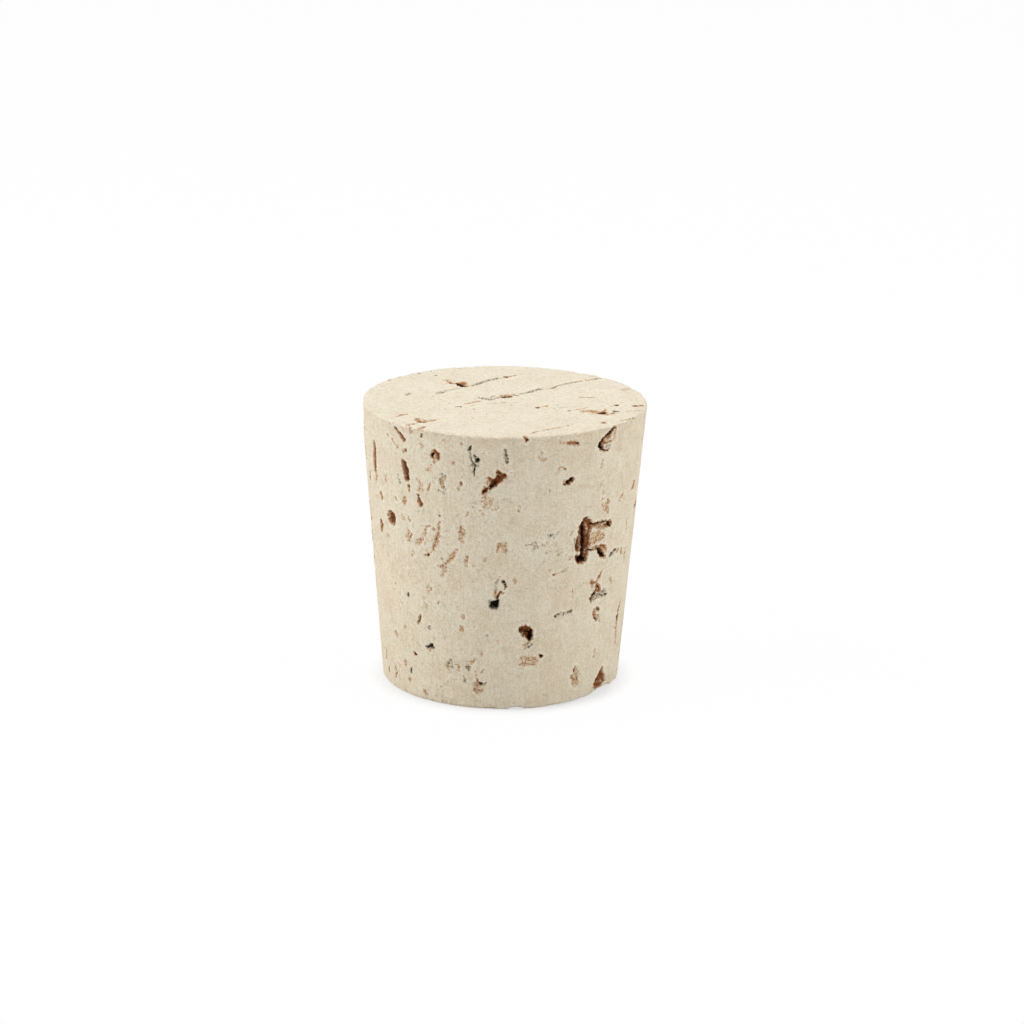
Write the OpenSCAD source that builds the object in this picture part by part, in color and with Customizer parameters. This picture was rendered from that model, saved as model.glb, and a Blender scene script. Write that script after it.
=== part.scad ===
// Tapered cork stopper: one solid piece of natural cork, turned to a taper, standing on its foot.
// The pores of the bark run straight through the piece in one level direction. Where that
// direction meets the side they open as upright pits, and where they pass along the side or
// the ends they show as long streaks.

/* [Taper] */
// Diameter of the wide end, the head
head_d = 38.1; // [24:0.1:60]
// Diameter of the narrow end, the foot
foot_d = 31.75; // [18:0.05:50]
// Length from the foot to the head
stopper_l = 38.1; // [20:0.1:60]

/* [Edges] */
// Rounding of the edge around the head
head_edge_r = 0.35; // [0.1:0.05:1]
// Rounding of the edge around the foot
foot_edge_r = 0.6; // [0.1:0.05:1.5]

/* [Pores] */
// Width of a pore that the tables below call 1 wide
pore_w = 1; // [0.5:0.05:1.4]
// Length of a pore that the tables below call 1 long
pore_l = 1; // [0.5:0.05:1.4]
// Depth of a pore that the tables below call 1 deep
pore_depth = 1; // [0.3:0.05:1.5]
// Direction in which the pores run, in degrees from the right towards the back
pore_run = 41; // [0:1:180]

/* [Hidden] */
$fn = 96;

taper = atan((head_d - foot_d) / 2 / stopper_l); // half angle of the taper
step_at = 0.45;                                  // share of a deep pit's depth where it steps in
step_size = 0.62;                                // size of the step, as a share of the pit
deep = 0.8;                                      // a pit this deep or deeper has a step
corners = 9;                                     // corners of a pit's ragged outline
clear = 2 * pore_depth;                          // how far a cut stands out of the surface

// Pits of the front half of the side: [turn, height, length, width, lean, depth].
// turn is in degrees from the front, to the right. height is in hundredths of the length.
// lean is in degrees from upright, clockwise as seen from outside, so 90 lies level.
front_pits = [
    // upper left
    [-45.5, 96.5, 2.2, 0.6, -54, 0.6],
    [-42.5, 91.0, 0.6, 0.6,   0, 0.5],
    [-43.0, 84.0, 3.1, 0.9, -11, 1.2],
    [-36.0, 74.0, 1.2, 0.6, -15, 0.6],
    [-28.0, 92.0, 1.6, 1.3,   0, 0.7],
    [-34.2, 98.0, 0.7, 0.4,  10, 0.4],
    [-51.5, 93.5, 2.0, 0.4, -55, 0.3],
    [-65.0, 84.5, 3.8, 0.7,   0, 0.4],
    [-62.7, 71.0, 1.2, 0.7, -20, 0.5],
    [-16.8, 82.5, 0.8, 0.6,   0, 0.5],
    [-25.0, 81.0, 2.2, 0.4,   8, 0.3],
    // upper middle
    [-13.2, 95.0, 0.9, 0.4,  20, 0.6],
    [-10.2, 91.5, 0.8, 0.6,  40, 0.8],
    [-11.6, 87.5, 1.1, 0.4,  25, 0.6],
    [  1.0, 93.5, 2.0, 0.6,  -8, 0.4],
    [ -1.5, 86.0, 1.6, 1.4,  30, 0.7],
    [ -3.8, 82.8, 1.9, 1.2,  50, 1.0],
    [ -8.0, 79.8, 0.8, 0.6,  45, 0.7],
    [  8.9, 99.0, 1.0, 0.6, -15, 0.5],
    // upper right
    [ 28.0, 96.5, 0.8, 0.5,  90, 0.4],
    [ 30.5, 96.0, 0.7, 0.5,  80, 0.5],
    [ 47.0, 97.5, 1.4, 0.7,  50, 0.7],
    [ 44.6, 96.4, 1.8, 0.5,  55, 0.6],
    [ 42.0, 94.2, 1.3, 0.8,   5, 1.0],
    [ 45.0, 92.2, 1.4, 0.4,  95, 0.5],
    [ 46.0, 94.5, 1.6, 0.3,  85, 0.4],
    [ 25.3, 87.4, 0.6, 0.6,   0, 0.4],
    [ 27.4, 82.9, 1.5, 0.6,  62, 0.9],
    [ 43.6, 87.0, 1.2, 0.4,   5, 0.3],
    [ 71.0, 74.5, 1.3, 0.8,  20, 0.4],
    // middle left
    [-53.2, 64.5, 2.1, 1.6,   0, 1.0],
    [-63.2, 59.7, 2.0, 0.9,   5, 0.6],
    [-42.2, 66.0, 0.8, 0.5, -20, 0.4],
    [-41.8, 60.5, 1.2, 0.6,  30, 0.3],
    [-37.5, 59.0, 1.6, 1.0,  20, 0.4],
    [-28.2, 62.0, 2.2, 0.5,  15, 0.4],
    [-26.6, 69.5, 1.8, 0.4,   5, 0.5],
    [-33.2, 54.8, 0.9, 0.6,  60, 0.5],
    [-21.3, 55.5, 1.6, 0.5,  25, 0.3],
    [-26.0, 51.8, 1.3, 0.5,  70, 0.4],
    [-17.5, 64.5, 1.2, 0.6,  10, 0.3],
    [-45.8, 38.4, 0.8, 0.5, -10, 0.6],
    // middle
    [ -1.5, 60.0, 1.3, 0.5,   5, 0.3],
    [  1.7, 60.0, 1.3, 0.5, -10, 0.3],
    [  1.4, 47.0, 1.3, 0.5, -20, 0.5],
    [ -1.2, 43.0, 2.2, 0.5,  32, 0.9],
    [ -2.8, 39.5, 1.2, 1.4,   0, 1.6],
    // the large branched pit at the right
    [ 36.6, 60.5, 5.6, 1.4,   3, 1.3],
    [ 37.3, 53.0, 1.4, 1.6,  15, 1.7],
    [ 33.3, 59.5, 1.9, 0.8,   3, 0.8],
    [ 34.3, 54.3, 1.2, 0.9, -30, 0.8],
    [ 44.5, 65.5, 4.0, 0.9,  88, 0.7],
    [ 51.7, 63.8, 1.2, 1.0,   0, 0.9],
    [ 42.4, 56.0, 3.6, 0.5,  92, 0.7],
    [ 46.8, 54.6, 1.9, 1.0, -60, 1.3],
    [ 58.0, 52.4, 2.6, 0.5,  82, 0.5],
    // middle right
    [ 44.2, 43.5, 0.8, 0.8,   0, 0.5],
    [ 48.4, 41.2, 1.4, 0.8, -20, 0.6],
    [ 44.6, 38.8, 1.9, 0.6,  48, 0.8],
    [ 47.3, 44.3, 1.2, 0.3,  35, 0.3],
    [ 46.6, 32.6, 1.9, 0.6,   0, 0.5],
    [ 48.6, 30.2, 1.4, 0.7, -40, 0.7],
    [ 69.3, 29.0, 2.4, 0.6,  15, 0.5],
    [ 28.5, 34.3, 3.0, 0.4,  88, 0.3],
    // lower left
    [-33.2, 21.0, 0.9, 1.1,   0, 1.0],
    [-36.0, 20.3, 0.5, 0.7,   0, 0.5],
    [-39.3, 30.3, 1.1, 0.4,  35, 0.4],
    [-43.7, 16.4, 0.6, 0.6,   0, 0.6],
    [-47.1,  9.7, 0.9, 0.5, -10, 0.6],
    [-60.0,  6.0, 1.4, 0.5,   5, 0.4],
    [-70.5, 11.0, 2.0, 0.5,   0, 0.3],
    [-51.0, 12.0, 0.7, 0.6,   0, 0.3],
    [-23.4, 17.0, 0.8, 0.6,  30, 0.5],
    [-16.7, 10.5, 1.2, 0.4, -15, 0.4],
    [-16.6, 34.0, 0.6, 0.6,   0, 0.5],
    [-17.8, 29.7, 0.9, 0.7,   0, 0.3],
    // lower middle
    [-15.0, 15.4, 0.9, 0.7,   0, 0.4],
    [-10.8, 12.0, 2.6, 0.4, -15, 0.5],
    [ -9.8,  8.0, 2.2, 1.2,   0, 0.6],
    [ 11.2, 29.6, 2.0, 1.6, -35, 0.9],
    [ 13.2, 27.8, 1.7, 1.1,   0, 1.2],
    [ 18.9, 19.8, 0.6, 0.6,  30, 0.8],
    [ 13.0, 17.8, 1.2, 2.2,   0, 0.25],
    // lower right
    [ 38.5,  8.8, 2.2, 1.1, -15, 0.4],
    [ 36.9, 12.0, 0.6, 0.5,   0, 0.6],
    [ 55.5,  6.0, 3.4, 2.4,  35, 1.1],
];

// Pieces broken out of the foot's edge: [turn, length round the edge, height, depth]
foot_chips = [
    [ 57, 4.6, 1.0, 1.0],
    [  8, 2.4, 0.4, 0.5],
    [ -6, 2.8, 0.3, 0.5],
    [118, 3.0, 0.6, 0.7],
    [214, 2.6, 0.5, 0.6],
];

// Pits and cracks of the head: [right, back, length, width, turn from pore_run, depth].
// right and back are in hundredths of the head's radius.
head_pits = [
    [-30,  41, 1.7, 0.8,  75, 0.8],
    [-38,  48, 1.6, 0.6,  85, 0.5],
    [ -9,  60, 8.0, 0.4,  -2, 0.4],
    [-44,  21, 1.6, 0.4,   5, 0.4],
    [-67,  14, 1.2, 0.3,   5, 0.3],
    [-11,   5, 3.6, 0.6, -30, 0.3],
    [  2,   9, 1.1, 0.9, -30, 0.8],
    [ 17,  27, 7.0, 0.3,   0, 0.3],
    [ 45,  52, 6.5, 0.3,   0, 0.3],
    [ 26, -17, 2.0, 0.4,   0, 0.4],
    [ 67, -30, 1.3, 1.0, -20, 1.0],
    [ 73, -33, 1.8, 0.3, -45, 0.4],
    [ 61, -26, 1.6, 0.7, -35, 0.3],
    [ 78,  -9, 0.8, 0.5,   0, 0.4],
    [ 91, -11, 0.6, 0.5,   0, 0.5],
    [ 68, -60, 0.7, 0.6,   0, 0.5],
    [ 36, -73, 7.0, 0.3,   5, 0.3],
    [-57, -61, 1.6, 0.8, -10, 0.5],
    [-70, -46, 2.0, 0.3,   0, 0.2],
];

// Numbers of pores that the back and the foot show, and the seed of their places
back_pores = 34;
foot_pores = 12;
pore_seed = 18;

// Radius of the taper at a height in hundredths of the length
function side_r(height) = (foot_d + (head_d - foot_d) * height / 100) / 2;

// A whole number that differs for each place, for the ragged outlines
function place_seed(p) = round(abs(p[0]) * 7 + abs(p[1]) * 13 + p[2] * 5);

// Ragged oval outline of a given length (along Y) and width
function ragged(length, width, seed) =
    let (share = rands(0.8, 1.12, corners, seed))
    [for (i = [0 : corners - 1])
        let (a = 360 * i / corners)
        [width / 2 * share[i] * sin(a), length / 2 * share[i] * cos(a)]];

// The cut of one pit, opening towards +Z, with the surface at Z = 0
module pit(length, width, depth, seed) {
    l = length * pore_l;
    w = width * pore_w;
    d = depth * pore_depth;
    stepped = depth >= deep;
    top_d = stepped ? d * step_at : d;
    translate([0, 0, -top_d])
        linear_extrude(height = top_d + clear)
            polygon(ragged(l, w, seed));
    if (stepped)
        translate([0, 0, -d])
            linear_extrude(height = d + clear)
                polygon(ragged(l * step_size, w * step_size, seed + 1));
}

// Sets its children on the side, with +Z outwards and +Y up the side
module on_side(turn, height) {
    rotate([0, 0, turn])
        translate([0, -side_r(height), stopper_l * height / 100])
            rotate([90 + taper, 0, 0])
                children();
}

// Pit on the side from one row of a table
module side_pit(p) {
    on_side(p[0], p[1])
        rotate([0, 0, -p[4]])
            pit(p[2], p[3], p[5], place_seed(p));
}

// Pit on an end face from one row of a table, with the face's radius given
module end_pit(p, face_r) {
    translate([p[0] * face_r / 100, p[1] * face_r / 100, 0])
        rotate([0, 0, pore_run - 90 + p[4]])
            pit(p[2], p[3], p[5], place_seed(p));
}

// Piece broken out of the edge at the foot
module foot_chip(c) {
    on_side(c[0], 0)
        rotate([0, 0, 90])
            translate([0, 0, -c[3] * pore_depth])
                linear_extrude(height = c[3] * pore_depth + clear)
                    polygon(ragged(c[1] * pore_l, 2 * c[2] * pore_w, c[0] + 200));
}

// Pores of the back of the side: upright where the pores run out of the side, and level
// where they run along it
module back_pits() {
    turns = rands(95, 265, back_pores, pore_seed);
    heights = rands(6, 95, back_pores, pore_seed + 1);
    sizes = rands(0.5, 1.5, back_pores, pore_seed + 2);
    leans = rands(-20, 20, back_pores, pore_seed + 3);
    for (i = [0 : back_pores - 1]) {
        along = abs(cos(turns[i] - pore_run)); // 1 where the pores run along the side
        s = sizes[i];
        if (along > 0.7)
            side_pit([turns[i], heights[i], 1.6 * s, 0.5 * s, 90 + leans[i] / 2, 0.5 * s]);
        else
            side_pit([turns[i], heights[i], 1.4 * s, 0.9 * s, leans[i], 0.7 * s]);
    }
}

// Pores of the foot's face, as streaks along the pores' direction
module foot_pits() {
    across = rands(-80, 80, foot_pores, pore_seed + 4);
    along = rands(-50, 50, foot_pores, pore_seed + 5);
    sizes = rands(0.6, 1.5, foot_pores, pore_seed + 6);
    for (i = [0 : foot_pores - 1]) {
        s = sizes[i];
        reach = sqrt(1 - pow(across[i] / 100, 2)); // keeps the streak inside the face
        spot = [across[i] * sin(pore_run) + along[i] * reach * cos(pore_run),
                along[i] * reach * sin(pore_run) - across[i] * cos(pore_run)];
        mirror([0, 0, 1])
            end_pit([spot[0], spot[1], 3.5 * s, 0.4 * s, 0, 0.4 * s], foot_d / 2);
    }
}

// Centre of the arc that rounds an edge, from the edge's own corner. up is 1 at the foot and
// -1 at the head: the arc touches the end face and the tapered side.
function edge_centre(corner, r, up) =
    [corner[0] - r * (1 - up * sin(taper)) / cos(taper), corner[1] + up * r];

// Point where that arc meets the tapered side
function edge_touch(centre, r) = centre + r * [cos(taper), -sin(taper)];

// The tapered body without its pores
module blank() {
    foot_c = edge_centre([foot_d / 2, 0], foot_edge_r, 1);
    head_c = edge_centre([head_d / 2, stopper_l], head_edge_r, -1);
    rotate_extrude() {
        polygon([[0, 0], [foot_c[0], 0], edge_touch(foot_c, foot_edge_r),
                 edge_touch(head_c, head_edge_r), [head_c[0], stopper_l], [0, stopper_l]]);
        translate(foot_c)
            circle(foot_edge_r);
        translate(head_c)
            circle(head_edge_r);
    }
}

module stopper() {
    color("#e0d2b8")
        difference() {
            blank();
            for (p = front_pits)
                side_pit(p);
            back_pits();
            for (c = foot_chips)
                foot_chip(c);
            translate([0, 0, stopper_l])
                for (p = head_pits)
                    end_pit(p, head_d / 2);
            foot_pits();
        }
}

stopper();
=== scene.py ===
import math
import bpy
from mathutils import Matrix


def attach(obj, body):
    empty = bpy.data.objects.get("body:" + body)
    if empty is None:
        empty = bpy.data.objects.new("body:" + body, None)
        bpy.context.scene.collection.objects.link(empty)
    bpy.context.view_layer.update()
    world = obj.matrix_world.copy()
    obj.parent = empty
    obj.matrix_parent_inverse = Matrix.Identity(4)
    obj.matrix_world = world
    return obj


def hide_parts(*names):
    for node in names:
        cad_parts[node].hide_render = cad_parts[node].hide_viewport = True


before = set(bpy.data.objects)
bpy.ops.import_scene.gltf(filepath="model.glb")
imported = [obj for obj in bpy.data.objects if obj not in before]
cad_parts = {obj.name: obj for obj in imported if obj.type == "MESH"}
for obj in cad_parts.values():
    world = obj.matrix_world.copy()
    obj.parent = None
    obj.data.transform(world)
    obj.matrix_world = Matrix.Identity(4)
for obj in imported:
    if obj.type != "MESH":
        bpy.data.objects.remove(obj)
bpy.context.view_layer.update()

from types import SimpleNamespace

import bpy
import numpy as np
from mathutils import Matrix, Vector

# A tapered stopper of natural cork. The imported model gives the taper. This script carves its
# pores, pits and cracks into one closed mesh and gives it a cork material. Lengths are in
# millimetres until the mesh is handed over. Places on the side are (turn, height): degrees from
# the front to the right, and millimetres above the foot. Places on the ends are (right, back).

MM = 0.001
PORE_RUN = math.radians(41)  # the pores run level, this far round from the right to the back
TINY = 1e-9  # keeps a division by a length safe

# Starting numbers of the random draws and of each noise
SEEDS = {
    "marks": 18,
    "sway": (11, 21, 31),
    "pit floor": 41,
    "crumbs": 45,
    "channels": 51,
    "side grain": 61,
    "end grain": 62,
    "waves": 71,
    "head chips": 81,
    "foot chips": 91,
}

# ---------------------------------------------------------------- the taper, from the frame

SIDE_BAND = (2, 6)  # the side's slope is measured this far from each end, in mm
LEVEL = 0.001  # mm within which a vertex lies in an end's flat


def measure_taper(node):
    """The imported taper's length, its radii where the side would meet each end, and the radius of
    each end's flat, in mm."""
    places = np.empty(len(node.data.vertices) * 3)
    node.data.vertices.foreach_get("co", places)
    places = places.reshape(-1, 3) / MM
    height = places[:, 2]
    radius = np.hypot(places[:, 0], places[:, 1])
    length = height.max()

    def widest(low, high):
        inside = (height >= low) & (height <= high)
        i = np.flatnonzero(inside)[radius[inside].argmax()]
        return radius[i], height[i]

    near, far = SIDE_BAND
    (r0, z0), (r1, z1) = widest(near, far), widest(length - far, length - near)
    slope = (r1 - r0) / (z1 - z0)
    return {
        "foot": r0 - slope * z0,
        "head": r1 + slope * (length - z1),
        "foot_flat": widest(-LEVEL, LEVEL)[0],
        "head_flat": widest(length - LEVEL, length + LEVEL)[0],
        "length": length,
    }


TAPER = measure_taper(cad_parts["stopper"])
LENGTH = TAPER["length"]
SLOPE = math.atan((TAPER["head"] - TAPER["foot"]) / LENGTH)
FOOT_RIM = (TAPER["foot"], 0)
HEAD_RIM = (TAPER["head"], LENGTH)


def edge_arc(corner_r, flat_r, up):
    """Radius and centre (r, z) of the arc between an end's flat and the side."""
    size = (corner_r - flat_r) * math.cos(SLOPE) / (1 - up * math.sin(SLOPE))
    return size, flat_r, size if up > 0 else LENGTH - size


FOOT_ARC = edge_arc(TAPER["foot"], TAPER["foot_flat"], 1)
HEAD_ARC = edge_arc(TAPER["head"], TAPER["head_flat"], -1)


def side_radius(z):
    return TAPER["foot"] + math.tan(SLOPE) * z


def as_turn(mm, z):
    """Degrees that a length round the side takes up at a height."""
    return math.degrees(mm / side_radius(z))


def on_side(turn, z):
    """Point on the side, in mm."""
    a = math.radians(turn)
    return np.array([side_radius(z) * math.sin(a), -side_radius(z) * math.cos(a), z])


def from_rim(p, radius, z):
    """Distance of each point from the circle where the side would meet an end."""
    return np.hypot(np.hypot(p[:, 0], p[:, 1]) - radius, p[:, 2] - z)


def on_blank(p):
    """Nearest points of the smooth taper, and its outward normals there."""
    radius = np.hypot(p[:, 0], p[:, 1])
    q = np.stack([radius, p[:, 2]], -1)
    along = np.array([math.sin(SLOPE), math.cos(SLOPE)])
    out = np.array([math.cos(SLOPE), -math.sin(SLOPE)])
    best = np.full(len(p), np.inf)
    spot = np.zeros_like(q)
    normal = np.zeros_like(q)

    def offer(points, normals):
        d = np.hypot(*(q - points).T)
        closer = d < best
        best[closer] = d[closer]
        spot[closer] = points[closer]
        normal[closer] = normals[closer]

    for flat, z, up in ((TAPER["foot_flat"], 0.0, -1.0), (TAPER["head_flat"], LENGTH, 1.0)):
        face = np.stack([np.clip(q[:, 0], 0, flat), np.full(len(q), z)], -1)
        offer(face, np.tile([0.0, up], (len(q), 1)))
    ends = []
    for size, r, z in (FOOT_ARC, HEAD_ARC):
        centre = np.array([r, z])
        way = q - centre
        way /= np.maximum(np.hypot(*way.T), TINY)[:, None]
        up = -1.0 if z < LENGTH / 2 else 1.0
        covered = ((way @ along) * up >= 0) & (way[:, 0] >= 0)
        points = np.where(covered[:, None], centre + size * way, np.inf)
        offer(points, way)
        ends.append(centre + size * out)
    span = np.clip((q - ends[0]) @ along, 0, np.hypot(*(ends[1] - ends[0])))
    offer(ends[0] + span[:, None] * along, np.tile(out, (len(q), 1)))
    level = p[:, :2] / np.maximum(radius, TINY)[:, None]
    points = np.column_stack([level * spot[:, :1], spot[:, 1]])
    normals = np.column_stack([level * normal[:, :1], normal[:, 1]])
    return points, normals


# ---------------------------------------------------------------- noise

LATTICE = 4096
PRIMES = np.array([73856093, 19349663, 83492791])
NOISE_GAIN = 1.6  # brings the noise to between about -1 and 1
LAYER_GAIN = 0.55  # strength of each layer next to the coarser one before it


def gradients(seed):
    g = np.random.default_rng(seed).normal(size=(LATTICE, 3))
    return g / np.linalg.norm(g, axis=1, keepdims=True)


def noise(p, seed):
    """Smooth noise between about -1 and 1, one wave per unit."""
    table = gradients(seed)
    cell = np.floor(p).astype(np.int64)
    f = p - cell
    ease = f * f * f * (f * (f * 6 - 15) + 10)
    total = np.zeros(len(p))
    for corner in np.ndindex(2, 2, 2):
        c = np.array(corner)
        h = np.bitwise_xor.reduce((cell + c) * PRIMES, axis=1) % LATTICE
        weight = np.prod(np.where(c, ease, 1 - ease), axis=1)
        total += weight * ((f - c) * table[h]).sum(1)
    return total * NOISE_GAIN


def rough(p, scale, layers, seed):
    """Layers of noise, the coarsest one wave per 1/scale mm."""
    total = np.zeros(len(p))
    for k in range(layers):
        total += noise(p * scale * 2**k, seed + k) * LAYER_GAIN**k
    return total


def grain_frame(p, squeeze):
    """p turned so that its first axis is along the pores, and squeezed along it."""
    c, s = math.cos(PORE_RUN), math.sin(PORE_RUN)
    return np.stack([(p[:, 0] * c + p[:, 1] * s) * squeeze, p[:, 1] * c - p[:, 0] * s, p[:, 2]], -1)


def smooth(edge0, edge1, x):
    t = np.clip((x - edge0) / (edge1 - edge0), 0, 1)
    return t * t * (3 - 2 * t)


# ---------------------------------------------------------------- marks in the cork
# A row of marks is (kind, depth, stroke, stroke, ...), with the depth in mm. A stroke is
# [(place, place, radius), ...]: it runs along its points, and one point alone is a dot.
# dark: red-brown round a near-black inside, partly the cork's own dark core and partly painted
# shade deep in a pit; brown: red-brown, darker where it is deeper, partly as painted shade; black:
# charcoal, with grey round it; tan: orange-brown specks; grey: grey-green specks.

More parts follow.
